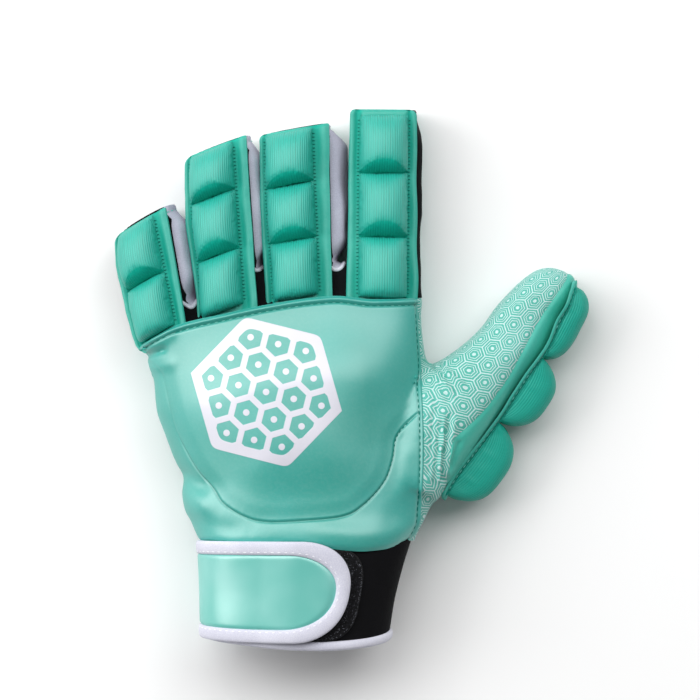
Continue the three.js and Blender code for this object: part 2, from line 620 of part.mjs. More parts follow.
// binding: follows the two long edges and the rounded end
function strapBinding() {
  const rim = (w, inset) => {
    const half = strapHalf - inset;
    const t1 = angleAt(STRAP.backX, true);
    const side = w < 0.4 || w > 0.6;
    const q = side ? (w < 0.4 ? 1 : -1) : lerp(1, -1, (w - 0.4) / 0.2);
    const bend = side ? q : Math.sin(q * Math.PI / 2);
    const k = (bend * half) / strapHalf;
    const t0 = angleAt(strapX(k, inset), false);
    const run = w < 0.4 ? lerp(t1, t0, w / 0.4) : w > 0.6 ? lerp(t0, t1, (w - 0.6) / 0.4) : t0;
    return { t: run, y: strapMid + bend * half };
  };
  const at = (lift) => (u, v) => {
    const a = rim(u, 0);
    const b = rim(u, STRAP.binding);
    return onCuff(lerp(a.t, b.t, v), lerp(a.y, b.y, v), lift);
  };
  return sheet(40, 1, at(STRAP.lift + STRAP.thick + 0.2), at(STRAP.lift - 0.2));
}
place('strap_binding', strapBinding(), finish.white);
// loop fastener patch on the cuff under the strap's end
function loopPatch() {
  const half = (LOOP.top - LOOP.bottom) / 2;
  const mid = (LOOP.top + LOOP.bottom) / 2;
  const at = (lift) => (u, v) => {
    const q = lerp(-1, 1, v);
    const x = LOOP.right - LOOP.nose * (1 - Math.sqrt(Math.max(0, 1 - Math.abs(q) ** 3)));
    return onCuff(lerp(angleAt(x, false), angleAt(LOOP.left, false), u), mid + q * half, lift);
  };
  return sheet(5, 8, at(LOOP.lift + LOOP.thick), at(LOOP.lift));
}
place('loop_patch', loopPatch(), finish.black);

export default group;
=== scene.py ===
"""Left-hand field hockey glove, half fingers, lying palm down.

Lengths in the tables are millimetres in the glove's own plan frame; PLACE moves
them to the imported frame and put() writes metres.
"""

import math

import bpy
import numpy as np
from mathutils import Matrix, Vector
from mathutils.bvhtree import BVHTree


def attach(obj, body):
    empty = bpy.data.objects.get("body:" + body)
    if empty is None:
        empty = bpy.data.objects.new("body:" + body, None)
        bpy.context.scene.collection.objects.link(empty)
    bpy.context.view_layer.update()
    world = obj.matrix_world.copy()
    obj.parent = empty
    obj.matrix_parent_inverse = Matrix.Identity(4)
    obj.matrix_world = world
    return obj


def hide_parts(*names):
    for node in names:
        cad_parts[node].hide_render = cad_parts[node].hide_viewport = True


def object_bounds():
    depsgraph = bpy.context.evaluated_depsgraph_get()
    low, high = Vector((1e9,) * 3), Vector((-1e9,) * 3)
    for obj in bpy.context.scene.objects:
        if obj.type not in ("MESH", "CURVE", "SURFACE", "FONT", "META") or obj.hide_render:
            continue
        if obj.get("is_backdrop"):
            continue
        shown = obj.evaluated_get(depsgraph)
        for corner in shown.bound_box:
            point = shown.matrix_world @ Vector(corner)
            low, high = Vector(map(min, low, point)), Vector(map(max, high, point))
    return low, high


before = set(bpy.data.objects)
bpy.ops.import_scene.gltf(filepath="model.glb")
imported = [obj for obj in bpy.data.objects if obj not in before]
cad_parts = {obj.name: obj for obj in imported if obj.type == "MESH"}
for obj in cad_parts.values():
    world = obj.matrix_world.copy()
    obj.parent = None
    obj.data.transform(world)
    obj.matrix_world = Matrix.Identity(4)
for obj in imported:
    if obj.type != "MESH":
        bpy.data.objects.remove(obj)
CAD_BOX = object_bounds()
PLACE = np.array([-1.1, 0.05, 0.0])
rng = np.random.default_rng(7)

# ------------------------------------------------------------------ tables
PALM_COLS = ("y", "left", "right", "top", "square")
PALM = np.array([
    [-57.6, -54.0, 23.0, 41.0, 2.4],
    [-50.0, -57.8, 27.0, 39.5, 2.4],
    [-46.0, -59.4, 29.0, 38.8, 2.4],
    [-42.0, -59.6, 31.0, 38.0, 2.4],
    [-38.0, -59.2, 32.2, 37.5, 2.4],
    [-33.0, -60.4, 33.0, 37.0, 2.4],
    [-29.0, -61.6, 33.0, 36.6, 2.4],
    [-24.0, -63.6, 33.0, 36.0, 2.4],
    [-20.0, -64.8, 32.6, 35.7, 2.4],
    [-14.0, -66.6, 32.0, 35.2, 2.5],
    [-3.0, -69.6, 29.4, 34.2, 2.6],
    [9.0, -70.4, 27.0, 32.6, 2.9],
    [20.0, -73.0, 25.8, 31.2, 3.3],
    [27.8, -76.0, 25.6, 30.2, 3.4],
])
HEM = np.array([
    [-77.0, 11.2], [-70.0, 15.8], [-61.0, 19.9], [-45.0, 23.6], [-30.0, 26.8], [-14.0, 29.3],
    [-5.0, 30.0], [8.0, 28.8], [28.0, 29.4],
])
SEAM = np.array([  # y, x
    [-62.0, 21.0], [-57.6, 22.6], [-50.0, 25.2], [-40.0, 26.6], [-25.0, 27.0], [-2.0, 26.3], [20.0, 24.6], [34.0, 24.2],
])


def seam_z(x):
    """Height of the seam between back and palm: lower on the little finger's side."""
    return 11.0 - 5.0 * np.clip((-38.0 - x) / 20.0, 0, 1)


FINGERS = [
    dict(name="little", bx=-61.6, by=1.0, tx=-72.2, ty=58.0, roll=22, aB=11.4, aT=9.6, bB=11.2, bT=9.2,
         strip=10.6, tuck=13.4, end=57.6, skew=0.33, pad=7.2, pads=[(56.6, 37.0), (36.4, 17.6)],
         shift=0.0, taper=0.0, lean=(-1.5, -0.3), corner=(2.6, 0.7), bulge=3.9, slim=3.4, root=27.6, proud=0.9,
         belly=[(13.4, -4.2), (15.5, -1.8), (17.7, -0.7), (22.0, 0.0), (26.4, 0.4), (30.7, 1.1), (35.0, 1.2), (39.3, 1.5), (43.5, 2.2), (48.0, 2.4), (52.3, 1.6), (57.0, 0.6)]),
    dict(name="ring", bx=-41.0, by=12.0, tx=-46.2, ty=83.4, roll=13, aB=11.9, aT=10.2, bB=11.6, bT=9.6,
         strip=11.3, tuck=15.0, end=84.2, skew=0.29, pad=7.7, pads=[(83.0, 67.0), (66.4, 45.6), (45.0, 25.6)],
         shift=0.0, taper=0.0, lean=(-1.3, -1.0), corner=(2.6, 0.8), bulge=3.9, slim=3.7, root=39.2, proud=0.3,
         belly=[(31.3, -0.6), (39.3, 0.0), (49.9, 0.6), (55.3, 1.3), (60.3, 1.8), (73.3, 1.7), (82.3, 0.8), (84.2, 0.6)]),
    dict(name="middle", bx=-16.6, by=14.0, tx=-18.4, ty=88.8, roll=7, aB=12.4, aT=10.8, bB=11.6, bT=9.9,
         strip=12.0, tuck=20.0, end=90.4, skew=0.15, pad=8.1, pads=[(89.2, 70.8), (70.2, 50.6), (50.0, 29.9)],
         shift=0.0, taper=0.0, lean=(-2.0, -0.8), corner=(2.0, 0.8), bulge=5.8, slim=5.2, root=41.6, proud=0.3,
         belly=[(31.8, 0.0), (41.2, 0.4), (54.5, 1.2), (66.4, 1.7), (80.8, 1.5), (89.8, 1.3)]),
    dict(name="index", bx=12.2, by=14.0, tx=12.9, ty=95.4, roll=-2, aB=12.4, aT=10.8, bB=11.6, bT=9.9,
         strip=12.5, tuck=21.0, end=97.3, skew=0.0, pad=8.4, pads=[(95.0, 74.6), (74.2, 51.6), (51.0, 29.9)],
         shift=-0.8, taper=0.8, lean=(0.0, 0.0), corner=(1.7, 2.6), bulge=2.3, slim=1.1, root=22.5, proud=0.0,
         belly=[(21.0, 0.9), (80.0, 0.9), (97.0, 0.4)]),
]
CROTCHES = [
    dict(name="ring_little", x=-55.6, y=27.6, half=9.5, top=20.0),
    dict(name="middle_ring", x=-31.6, y=39.2, half=10.0, top=20.6),
    dict(name="index_middle", x=-2.6, y=41.6, half=12.5, top=20.6),
]
THUMB = np.array([  # lx, ly, rx, ry, low, top
    [71.6, 40.6, 79.4, 37.8, 5.5, 14.5],
    [67.0, 39.8, 80.4, 34.6, 2.4, 18.2],
    [60.5, 35.6, 78.6, 28.6, -0.4, 21.0],
    [54.0, 28.6, 75.0, 21.4, -0.8, 22.8],
    [48.2, 20.0, 70.8, 12.4, -0.8, 24.4],
    [41.6, 13.2, 65.2, 4.1, -0.8, 26.2],
    [35.0, 8.2, 59.8, -4.1, -0.8, 28.0],
    [27.5, 4.0, 54.0, -12.8, -0.8, 30.0],
    [19.8, -3.4, 46.2, -23.6, -0.8, 32.0],
    [13.4, -16.4, 38.6, -33.7, -0.8, 33.4],
    [10.6, -31.0, 31.4, -44.0, -0.8, 34.0],
])
THUMB_STRIP = dict(a=0.75, b=9.85, low=2.0, high=23.0, pad_low=3.4, pad_high=21.8,
                   pads=[(1.2, 4.44, 9.2), (4.46, 7.18, 13.3), (7.20, 9.7, 15.3)])
GUSSET = np.array([
    [77.6, 46.0], [78.6, 37.6], [75.0, 31.4], [68.4, 21.6], [62.0, 9.6], [56.2, -0.8], [47.4, -12.2],
    [38.4, -20.6], [36.2, -25.4], [36.0, -32.6], [34.6, -40.0], [33.0, -52.0],
])
CUFF = np.array([  # y, left, right, low, top
    [-57.9, -52.6, 22.3, 4.6, 40.2],
    [-68.0, -52.2, 18.9, 4.6, 39.4],
    [-80.0, -51.8, 16.0, 4.6, 39.0],
    [-90.0, -51.5, 14.7, 4.6, 38.8],
])
CUFF_SAG = 4.4
STRAP = dict(top=-57.8, bottom=-92.4, lift=1.9, low_lift=0.45, thick=2.3, binding=4.8, end=-0.9, back=-6.0, nose=18.5, sag=2.0)
LOOP = dict(lift=0.3, thick=0.9, right=3.6, left=-18.0, top=-60.2, bottom=-89.6, nose=11.0)
# lower edge of the back, which hangs over the cuff
HEEL = np.array([  # x, y
    [-60.0, -58.2], [-44.0, -58.4], [-32.0, -58.6], [-20.0, -59.0], [-8.6, -60.4], [4.3, -61.6], [12.0, -61.0], [16.6, -59.7], [20.5, -58.0], [24.5, -56.0],
])
# edge of the white side cloth between two fingers
WEBS = [
    [[-62.0, 28.5], [-58.7, 26.5], [-57.4, 25.8], [-56.2, 26.6], [-54.6, 29.2]],
    [[-38.0, 41.0], [-35.3, 40.0], [-33.8, 39.2], [-32.2, 39.7], [-30.6, 41.8]],
    [[-9.0, 41.5], [-6.6, 40.0], [-4.6, 39.4], [-2.5, 41.0], [-1.2, 44.4], [-0.6, 46.5]],
]
# lower edge of the moulded foam of the back, from the right seam round to the little finger's side
DOME_EDGE = np.array([
    [27.0, -10.5], [22.7, -13.5], [16.6, -20.3], [15.1, -28.6], [11.9, -36.9], [4.3, -45.2], [-3.2, -49.1],
    [-18.4, -50.6], [-29.9, -50.9], [-37.4, -49.1], [-45.0, -44.5], [-48.6, -39.1], [-53.3, -34.0],
    [-57.6, -27.0], [-62.6, -16.4], [-65.6, -3.8], [-68.0, 4.0], [-74.0, 8.0],
])
ROUND = 2.6


# ------------------------------------------------------------------ helpers
def smooth(t):
    t = np.clip(t, 0, 1)
    return t * t * (3 - 2 * t)


def power(c, e):
    return np.sign(c) * np.abs(c) ** e


def cubic(xs, ys, x):
    """Monotone cubic through a table column."""
    xs = np.asarray(xs, float)
    ys = np.asarray(ys, float)
    if xs[-1] < xs[0]:
        xs, ys = xs[::-1], ys[::-1]
    x = np.asarray(x, float)
    h = np.diff(xs)
    d = np.diff(ys) / h
    m = np.zeros_like(ys)
    m[1:-1] = np.where(d[:-1] * d[1:] > 0, 2 * d[:-1] * d[1:] / (d[:-1] + d[1:] + 1e-12), 0)
    m[0], m[-1] = d[0], d[-1]
    i = np.clip(np.searchsorted(xs, x) - 1, 0, len(h) - 1)
    t = np.clip((x - xs[i]) / h[i], -0.3, 1.3)
    return ((2 * t**3 - 3 * t**2 + 1) * ys[i] + (t**3 - 2 * t**2 + t) * h[i] * m[i]
            + (-2 * t**3 + 3 * t**2) * ys[i + 1] + (t**3 - t**2) * h[i] * m[i + 1])


def heel_y(x):
    return cubic(HEEL[:, 0], HEEL[:, 1], np.clip(x, -60, 24.5))


def hem_y(x):
    return cubic(HEM[:, 0], HEM[:, 1], np.clip(x, -77, 28))


def seam_x(y):
    return cubic(SEAM[:, 0], SEAM[:, 1], np.clip(y, -62, 34))


def polyline_distance(px, py, line, signed=True):
    """Distance in plan from points to a polyline, positive on its left."""
    best = np.full(px.shape, 1e9)
    sign = np.ones(px.shape)
    for a, b in zip(line[:-1], line[1:]):
        d = b - a
        l2 = d @ d
        t = np.clip(((px - a[0]) * d[0] + (py - a[1]) * d[1]) / l2, 0, 1)
        qx, qy = a[0] + t * d[0] - px, a[1] + t * d[1] - py
        r = np.hypot(qx, qy)
        cross = d[0] * (py - a[1]) - d[1] * (px - a[0])
        near = r < best
        best = np.where(near, r, best)
        sign = np.where(near, np.sign(cross), sign)
    return best * sign if signed else best


def smooth_line(points, n):
    """Resampled Catmull-Rom line through the points."""
    p = np.asarray(points, float)
    p = np.vstack([2 * p[0] - p[1], p, 2 * p[-1] - p[-2]])
    out = []
    per = max(4, n // (len(p) - 3))
    for i in range(1, len(p) - 2):
        t = np.linspace(0, 1, per, endpoint=False)[:, None]
        a, b, c, d = p[i - 1], p[i], p[i + 1], p[i + 2]
        out.append(0.5 * (2 * b + (c - a) * t + (2 * a - 5 * b + 4 * c - d) * t**2 + (3 * b - a - 3 * c + d) * t**3))
    out.append(p[-2][None])
    return resample(np.vstack(out), n)


def resample(p, n, closed=False):
    if closed:
        p = np.vstack([p, p[:1]])
    s = np.r_[0, np.cumsum(np.linalg.norm(np.diff(p, axis=0), axis=1))]
    keep = np.r_[True, np.diff(s) > 1e-9]
    p, s = p[keep], s[keep]
    t = np.linspace(0, s[-1], n, endpoint=not closed)
    return np.stack([np.interp(t, s, p[:, k]) for k in range(p.shape[1])], 1)


def line_length(p):
    return float(np.linalg.norm(np.diff(p, axis=0), axis=1).sum())


def relax(p, times, closed=False):
    p = p.copy()
    for _ in range(times):
        if closed:
            p = 0.5 * p + 0.25 * (np.roll(p, 1, 0) + np.roll(p, -1, 0))
        else:
            p[1:-1] = 0.5 * p[1:-1] + 0.25 * (p[:-2] + p[2:])
    return p


def hash_noise(p, seed):
    """Smooth value noise at points of any dimension 3, period-free."""
    i = np.floor(p).astype(np.int64)
    f = p - i
    f = f * f * (3 - 2 * f)
    out = np.zeros(len(p))
    for dx in (0, 1):
        for dy in (0, 1):
            for dz in (0, 1):
                h = ((i[:, 0] + dx) * 73856093) ^ ((i[:, 1] + dy) * 19349663) ^ ((i[:, 2] + dz) * 83492791) ^ (seed * 2654435761)
                h = (h ^ (h >> 13)) * 1274126177
                v = ((h ^ (h >> 16)) & 0xFFFF) / 65535.0
                w = (f[:, 0] if dx else 1 - f[:, 0]) * (f[:, 1] if dy else 1 - f[:, 1]) * (f[:, 2] if dz else 1 - f[:, 2])
                out += v * w
    return out * 2 - 1


# ---------------------------------------------------------------- meshes
def put(name, verts, faces, material, ride="root", sharp=None, uv=None, painted_shade_or_reverse_side=None):
    """New object from verts in glove millimetres. faces is an (n, 3 or 4) array or a list of arrays."""
    v = (np.asarray(verts, float) + PLACE) / 1000.0
    blocks = [np.asarray(f, np.int32) for f in (faces if isinstance(faces, list) else [faces]) if len(f)]
    me = bpy.data.meshes.new(name)
    me.vertices.add(len(v))
    me.vertices.foreach_set("co", v.astype(np.float32).ravel())
    loops = np.concatenate([b.ravel() for b in blocks])
    sizes = np.concatenate([np.full(len(b), b.shape[1], np.int32) for b in blocks])
    me.loops.add(len(loops))
    me.loops.foreach_set("vertex_index", loops)
    me.polygons.add(len(sizes))
    me.polygons.foreach_set("loop_start", np.r_[0, np.cumsum(sizes)[:-1]].astype(np.int32))
    me.polygons.foreach_set("loop_total", sizes)
    me.update(calc_edges=True)
    me.validate()
    me.polygons.foreach_set("use_smooth", np.ones(len(me.polygons), bool))
    if uv is not None:
        layer = me.uv_layers.new(name="map")
        idx = np.empty(len(me.loops), np.int32)
        me.loops.foreach_get("vertex_index", idx)
        layer.data.foreach_set("uv", np.asarray(uv, np.float32)[idx].ravel())
    # point attribute: painted shade (darker, less glossy cloth where shade falls) or, on the cut cloth pieces, 1 on the
    # reverse side
    if painted_shade_or_reverse_side is not None:
        at = me.attributes.new("painted_shade_or_reverse_side", "FLOAT", "POINT")
        at.data.foreach_set("value", np.asarray(painted_shade_or_reverse_side, np.float32))
    if sharp:
        me.set_sharp_from_angle(angle=math.radians(sharp))
    me.materials.append(material)
    ob = bpy.data.objects.new(name, me)
    bpy.context.scene.collection.objects.link(ob)
    if ride:
        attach(ob, ride)
    return ob


def grid_faces(nu, nv, wrap=False):
    """Quads of an nu by nv vertex grid, v fastest; wrap closes u."""
    i = np.arange(nu if wrap else nu - 1)
    j = np.arange(nv - 1)
    i, j = [a.ravel() for a in np.meshgrid(i, j, indexing="ij")]
    k = (i + 1) % nu
    return np.stack([i * nv + j, k * nv + j, k * nv + j + 1, i * nv + j + 1], 1)


def loft(rings):
    """Closed solid through rings (m, n, 3)."""
    m, n, _ = rings.shape
    v = rings.reshape(-1, 3)
    i, j = [a.ravel() for a in np.meshgrid(np.arange(m - 1), np.arange(n), indexing="ij")]
    k = (j + 1) % n
    f = np.stack([i * n + j, i * n + k, (i + 1) * n + k, (i + 1) * n + j], 1)
    v = np.vstack([v, rings[0].mean(0), rings[-1].mean(0)])
    t = np.arange(n)
    u = (t + 1) % n
    cap0 = np.stack([np.full(n, m * n), u, t], 1)
    cap1 = np.stack([np.full(n, m * n + 1), (m - 1) * n + t, (m - 1) * n + u], 1)
    return v, f, np.vstack([cap0, cap1])


def vertex_normals(v, f):
    a, b, c = v[f[:, 0]], v[f[:, 1]], v[f[:, 2]]
    fn = np.cross(b - a, c - a)
    n = np.zeros_like(v)
    for k in range(3):
        np.add.at(n, f[:, k], fn)
    if f.shape[1] == 4:
        fn = np.cross(v[f[:, 2]] - a, v[f[:, 3]] - a)
        for k in (0, 2, 3):
            np.add.at(n, f[:, k], fn)
    return n / (np.linalg.norm(n, axis=1)[:, None] + 1e-12)


def edges_of(f):
    e = np.vstack([f[:, [k, (k + 1) % f.shape[1]]] for k in range(f.shape[1])])
    return e


def laplace(v, f, times, factor=0.5, weight=None):
    e = np.unique(np.sort(edges_of(f), 1), axis=0)
    n = len(v)
    deg = np.bincount(e.ravel(), minlength=n).astype(float)[:, None]
    v = v.copy()
    w = factor if weight is None else factor * weight[:, None]
    for _ in range(times):
        s = np.zeros_like(v)
        for k in range(3):
            s[:, k] = np.bincount(e[:, 0], v[e[:, 1], k], n) + np.bincount(e[:, 1], v[e[:, 0], k], n)
        v += w * (s / deg - v)
    return v


def remesh(parts, voxel):
    """Union of closed solids on a voxel grid, as triangles in glove millimetres."""
    vs, fs, base = [], [], 0
    for v, quads, tris in parts:
        vs.append(v)
        fs += [quads + base, tris + base]
        base += len(v)
    ob = put("tmp_union", np.vstack(vs), fs, MATS["gusset"], ride=None)
    mod = ob.modifiers.new("r", "REMESH")
    mod.mode = "VOXEL"
    mod.voxel_size = voxel / 1000.0
    mod.adaptivity = 0
    dg = bpy.context.evaluated_depsgraph_get()
    ev = ob.evaluated_get(dg)
    me = ev.to_mesh()
    me.calc_loop_triangles()
    v = np.empty(len(me.vertices) * 3, np.float32)
    me.vertices.foreach_get("co", v)
    f = np.empty(len(me.loop_triangles) * 3, np.int32)
    me.loop_triangles.foreach_get("vertices", f)
    ev.to_mesh_clear()
    data = ob.data
    bpy.data.objects.remove(ob)
    bpy.data.meshes.remove(data)
    return v.reshape(-1, 3).astype(float) * 1000.0 - PLACE, f.reshape(-1, 3)


def clip(v, f, extra, field):
    """Keeps the side of the triangle mesh where field > 0, cut exactly along field = 0."""
    field = np.where(np.abs(field) < 2e-3, 2e-3, field)
    inside = field > 0
    k = inside[f].sum(1)
    keep = f[k == 3]
    cuts = []
    out_tris = []
    for want in (1, 2):
        t = f[k == want]
        if not len(t):
            continue
        odd = inside[t] if want == 1 else ~inside[t]
        first = odd.argmax(1)
        r = np.arange(len(t))
        a, b, c = t[r, first], t[r, (first + 1) % 3], t[r, (first + 2) % 3]
        cuts.append((want, a, b, c))
    pairs = [np.vstack([np.stack([a, b], 1), np.stack([a, c], 1)]) for _, a, b, c in cuts]
    if pairs:
        allp = np.sort(np.vstack(pairs), 1)
        uniq, inv = np.unique(allp, axis=0, return_inverse=True)
        inv = inv.ravel()
        fa, fb = field[uniq[:, 0]], field[uniq[:, 1]]
        t = (fa / (fa - fb))[:, None]
        base = len(v)
        v = np.vstack([v, v[uniq[:, 0]] * (1 - t) + v[uniq[:, 1]] * t])
        extra = np.vstack([extra, extra[uniq[:, 0]] * (1 - t) + extra[uniq[:, 1]] * t])
        at = 0
        for want, a, b, c in cuts:
            n = len(a)
            ab = inv[at:at + n] + base
            ac = inv[at + n:at + 2 * n] + base
            at += 2 * n
            if want == 1:
                out_tris.append(np.stack([a, ab, ac], 1))
            else:
                out_tris.append(np.stack([ab, b, c], 1))
                out_tris.append(np.stack([ab, c, ac], 1))
    f = np.vstack([keep] + out_tris)
    used, f = np.unique(f, return_inverse=True)
    f = f.reshape(-1, 3)
    good = (f[:, 0] != f[:, 1]) & (f[:, 1] != f[:, 2]) & (f[:, 0] != f[:, 2])
    return v[used], f[good], extra[used]


def biggest(v, f, extra):
    """The largest connected piece of a mesh."""
    n = len(v)
    label = np.arange(n)
    e = edges_of(f)
    while True:
        m = label.copy()
        np.minimum.at(m, e[:, 0], label[e[:, 1]])
        np.minimum.at(m, e[:, 1], label[e[:, 0]])
        m = m[m]
        if (m == label).all():
            break
        label = m
    keep = label[f[:, 0]] == np.bincount(label[f[:, 0]]).argmax()
    f = f[keep]
    used, f = np.unique(f, return_inverse=True)
    return v[used], f.reshape(-1, 3), extra[used]


def boundary(f):
    """Directed boundary edges of a triangle mesh."""
    e = edges_of(f)
    n = int(f.max()) + 1
    key = e[:, 0].astype(np.int64) * n + e[:, 1]
    back = e[:, 1].astype(np.int64) * n + e[:, 0]
    return e[~np.isin(key, back)]


def thicken(v, f, normal, thick, extra=None):
    """Closed cloth: the sheet, the same sheet thick below it, and its rim."""
    n = len(v)
    inner = v - normal * np.reshape(thick, (-1, 1))
    rim = boundary(f)
    quads = np.stack([rim[:, 1], rim[:, 0], rim[:, 0] + n, rim[:, 1] + n], 1)
    return np.vstack([v, inner]), [np.vstack([f, f[:, ::-1] + n]), quads]


def contour(v, f, field, level, normals=None):
    """Longest polyline where field equals level, with normals."""
    d = field - level
    d = np.where(np.abs(d) < 1e-9, 1e-9, d)
    ins = d > 0
    k = ins[f].sum(1)
    t = f[(k == 1) | (k == 2)]
    if not len(t):
        return None, None
    odd = np.where((ins[t].sum(1) == 1)[:, None], ins[t], ~ins[t])
    first = odd.argmax(1)
    r = np.arange(len(t))
    a, b, c = t[r, first], t[r, (first + 1) % 3], t[r, (first + 2) % 3]
    p = np.sort(np.vstack([np.stack([a, b], 1), np.stack([a, c], 1)]), 1)
    uniq, inv = np.unique(p, axis=0, return_inverse=True)
    inv = inv.ravel()
    fa, fb = d[uniq[:, 0]], d[uniq[:, 1]]
    w = (fa / (fa - fb))[:, None]
    pts = v[uniq[:, 0]] * (1 - w) + v[uniq[:, 1]] * w
    nrm = None if normals is None else normals[uniq[:, 0]] * (1 - w) + normals[uniq[:, 1]] * w
    link = {}
    for x, y in zip(inv[:len(t)], inv[len(t):]):
        link.setdefault(int(x), []).append(int(y))
        link.setdefault(int(y), []).append(int(x))
    seen = set()
    best = []
    order = sorted(link, key=lambda q: len(link[q]))
    for s in order:
        if s in seen:
            continue
        chain = [s]
        seen.add(s)
        cur = s
        while True:
            nxt = [q for q in link[cur] if q not in seen]
            if not nxt:
                break
            cur = nxt[0]
            seen.add(cur)
            chain.append(cur)
        if len(chain) > len(best):
            best = chain
    return pts[best], None if nrm is None else nrm[best]


def sweep(path, up, profile, closed=False, caps=True, scale=None):
    """Solid along a path. profile is (m, 2): sideways, along up. scale is per path point."""
    n = len(path)
    if closed:
        tan = np.roll(path, -1, 0) - np.roll(path, 1, 0)
    else:
        tan = np.gradient(path, axis=0)
    tan /= np.linalg.norm(tan, axis=1)[:, None] + 1e-12
    up = up - tan * (up * tan).sum(1)[:, None]
    up /= np.linalg.norm(up, axis=1)[:, None] + 1e-12
    side = np.cross(tan, up)
    prof = np.asarray(profile, float)
    m = len(prof)
    s = np.ones(n) if scale is None else scale
    v = (path[:, None] + side[:, None] * (prof[None, :, 0] * s[:, None])[..., None]
         + up[:, None] * (prof[None, :, 1] * s[:, None])[..., None]).reshape(-1, 3)
    i = np.arange(n if closed else n - 1)
    j = np.arange(m)
    i, j = [a.ravel() for a in np.meshgrid(i, j, indexing="ij")]
    k = (i + 1) % n
    l = (j + 1) % m
    quads = np.stack([i * m + j, k * m + j, k * m + l, i * m + l], 1)
    if closed or not caps:
        return v, [quads]
    v = np.vstack([v, path[0], path[-1]])
    t = np.arange(m)
    u = (t + 1) % m
    c0 = np.stack([np.full(m, n * m), t, u], 1)
    c1 = np.stack([np.full(m, n * m + 1), (n - 1) * m + u, (n - 1) * m + t], 1)
    return v, [quads, np.vstack([c0, c1])]


def circle(r, n=10, flat=1.0):
    t = np.arange(n) / n * 2 * math.pi
    return np.stack([np.cos(t) * r, np.sin(t) * r * flat], 1)


def merge(parts):
    """Joins (verts, faces list) pairs."""
    vs, quads, tris, base = [], [], [], 0
    for v, fl in parts:
        vs.append(v)
        for f in fl:
            (quads if f.shape[1] == 4 else tris).append(f + base)
        base += len(v)
    out = []
    if quads:
        out.append(np.vstack(quads))
    if tris:
        out.append(np.vstack(tris))
    return np.vstack(vs), out


def stitches(path, up, length=2.0, gap=0.9, radius=0.24, lift=0.08, closed=False, tilt=0.0):
    """Thread stitches along a path: small rounded lozenges that dip at both ends."""
    total = line_length(path)
    count = max(2, int(total / (length + gap)))
    s = np.r_[0, np.cumsum(np.linalg.norm(np.diff(path, axis=0), axis=1))]
    at = (np.arange(count) + 0.5) * total / count
    parts = []
    u = np.linspace(-1, 1, 6)
    ring = np.arange(6) / 6 * 2 * math.pi
    for c in at:
        q = c + u * length / 2
        p = np.stack([np.interp(q, s, path[:, k]) for k in range(3)], 1)
        n = np.array([np.interp(c, s, up[:, k]) for k in range(3)])
        n /= np.linalg.norm(n) + 1e-12
        tan = p[-1] - p[0]
        tan /= np.linalg.norm(tan) + 1e-12
        side = np.cross(tan, n)
        p = p + side * (u * tilt)[:, None]
        r = radius * np.sqrt(np.maximum(0.04, 1 - u**2 * 0.96))
        c3 = p + n * (lift - 0.35 * radius * u**2)[:, None]
        v = (c3[:, None] + side * (np.cos(ring)[None, :] * r[:, None])[..., None] * 1.15
             + n * (np.sin(ring)[None, :] * r[:, None])[..., None])
        f = grid_faces(6, 6)
        last = np.array([[i * 6 + 5, (i + 1) * 6 + 5, (i + 1) * 6, i * 6] for i in range(5)])
        caps = np.array([[0, 1, 2, 3], [0, 3, 4, 5], [35, 34, 33, 32], [35, 32, 31, 30]])
        parts.append((v.reshape(-1, 3), [np.vstack([f, last, caps])]))
    return merge(parts)


# --------------------------------------------------------------- materials
class Nodes:
    def __init__(self, name):
        self.mat = bpy.data.materials.new(name)
        self.mat.use_nodes = True
        self.t = self.mat.node_tree
        self.t.nodes.clear()
        self.out = self.t.nodes.new("ShaderNodeOutputMaterial")
        self.b = self.t.nodes.new("ShaderNodeBsdfPrincipled")
        self.t.links.new(self.b.outputs[0], self.out.inputs[0])
        self.coord = self.t.nodes.new("ShaderNodeTexCoord")

    def n(self, kind, inputs=None, **props):
        node = self.t.nodes.new("ShaderNode" + kind)
        for k, v in props.items():
            setattr(node, k, v)
        for k, v in (inputs or {}).items():
            sock = node.inputs[k]
            if isinstance(v, bpy.types.NodeSocket):
                self.t.links.new(v, sock)
            else:
                sock.default_value = v
        return node

    def math(self, op, a, b=None, c=None, clamp=False):
        node = self.t.nodes.new("ShaderNodeMath")
        node.operation = op
        node.use_clamp = clamp
        for i, v in enumerate((a, b, c)):
            if v is None:
                continue
            if isinstance(v, bpy.types.NodeSocket):
                self.t.links.new(v, node.inputs[i])
            else:
                node.inputs[i].default_value = v
        return node.outputs[0]

    def vec(self, op, a, b=None, scale=None):
        node = self.t.nodes.new("ShaderNodeVectorMath")
        node.operation = op
        for i, v in enumerate((a, b)):
            if v is None:
                continue
            if isinstance(v, bpy.types.NodeSocket):
                self.t.links.new(v, node.inputs[i])
            else:
                node.inputs[i].default_value = v
        if scale is not None:
            node.inputs["Scale"].default_value = scale
        return node

    def noise(self, scale, detail=2.0, rough=0.5, vector=None):
        return self.n("TexNoise", {"Vector": vector or self.coord.outputs["Object"], "Scale": scale,
                                   "Detail": detail, "Roughness": rough}).outputs[0]

    def ramp(self, value, lo, hi):
        return self.n("MapRange", {"Value": value, "From Min": lo, "From Max": hi}, interpolation_type="SMOOTHSTEP").outputs[0]

    def mix(self, fac, a, b, blend="MIX"):
        node = self.t.nodes.new("ShaderNodeMix")
        node.data_type = "RGBA"
        node.blend_type = blend
        for sock, v in ((node.inputs[0], fac), (node.inputs[6], a), (node.inputs[7], b)):
            if isinstance(v, bpy.types.NodeSocket):
                self.t.links.new(v, sock)
            else:
                sock.default_value = v
        return node.outputs[2]

    def bump(self, height, strength, distance, normal=None):
        ins = {"Height": height, "Strength": strength, "Distance": distance}
        if normal is not None:
            ins["Normal"] = normal
        return self.n("Bump", ins).outputs[0]

    def set(self, **kw):
        for k, v in kw.items():
            sock = self.b.inputs[k.replace("_", " ")]
            if isinstance(v, bpy.types.NodeSocket):
                self.t.links.new(v, sock)
            else:
                sock.default_value = v


def lin(r, g, b):
    def c(x):
        x /= 255.0
        return x / 12.92 if x <= 0.04045 else ((x + 0.055) / 1.055) ** 2.4
    return (c(r), c(g), c(b), 1.0)


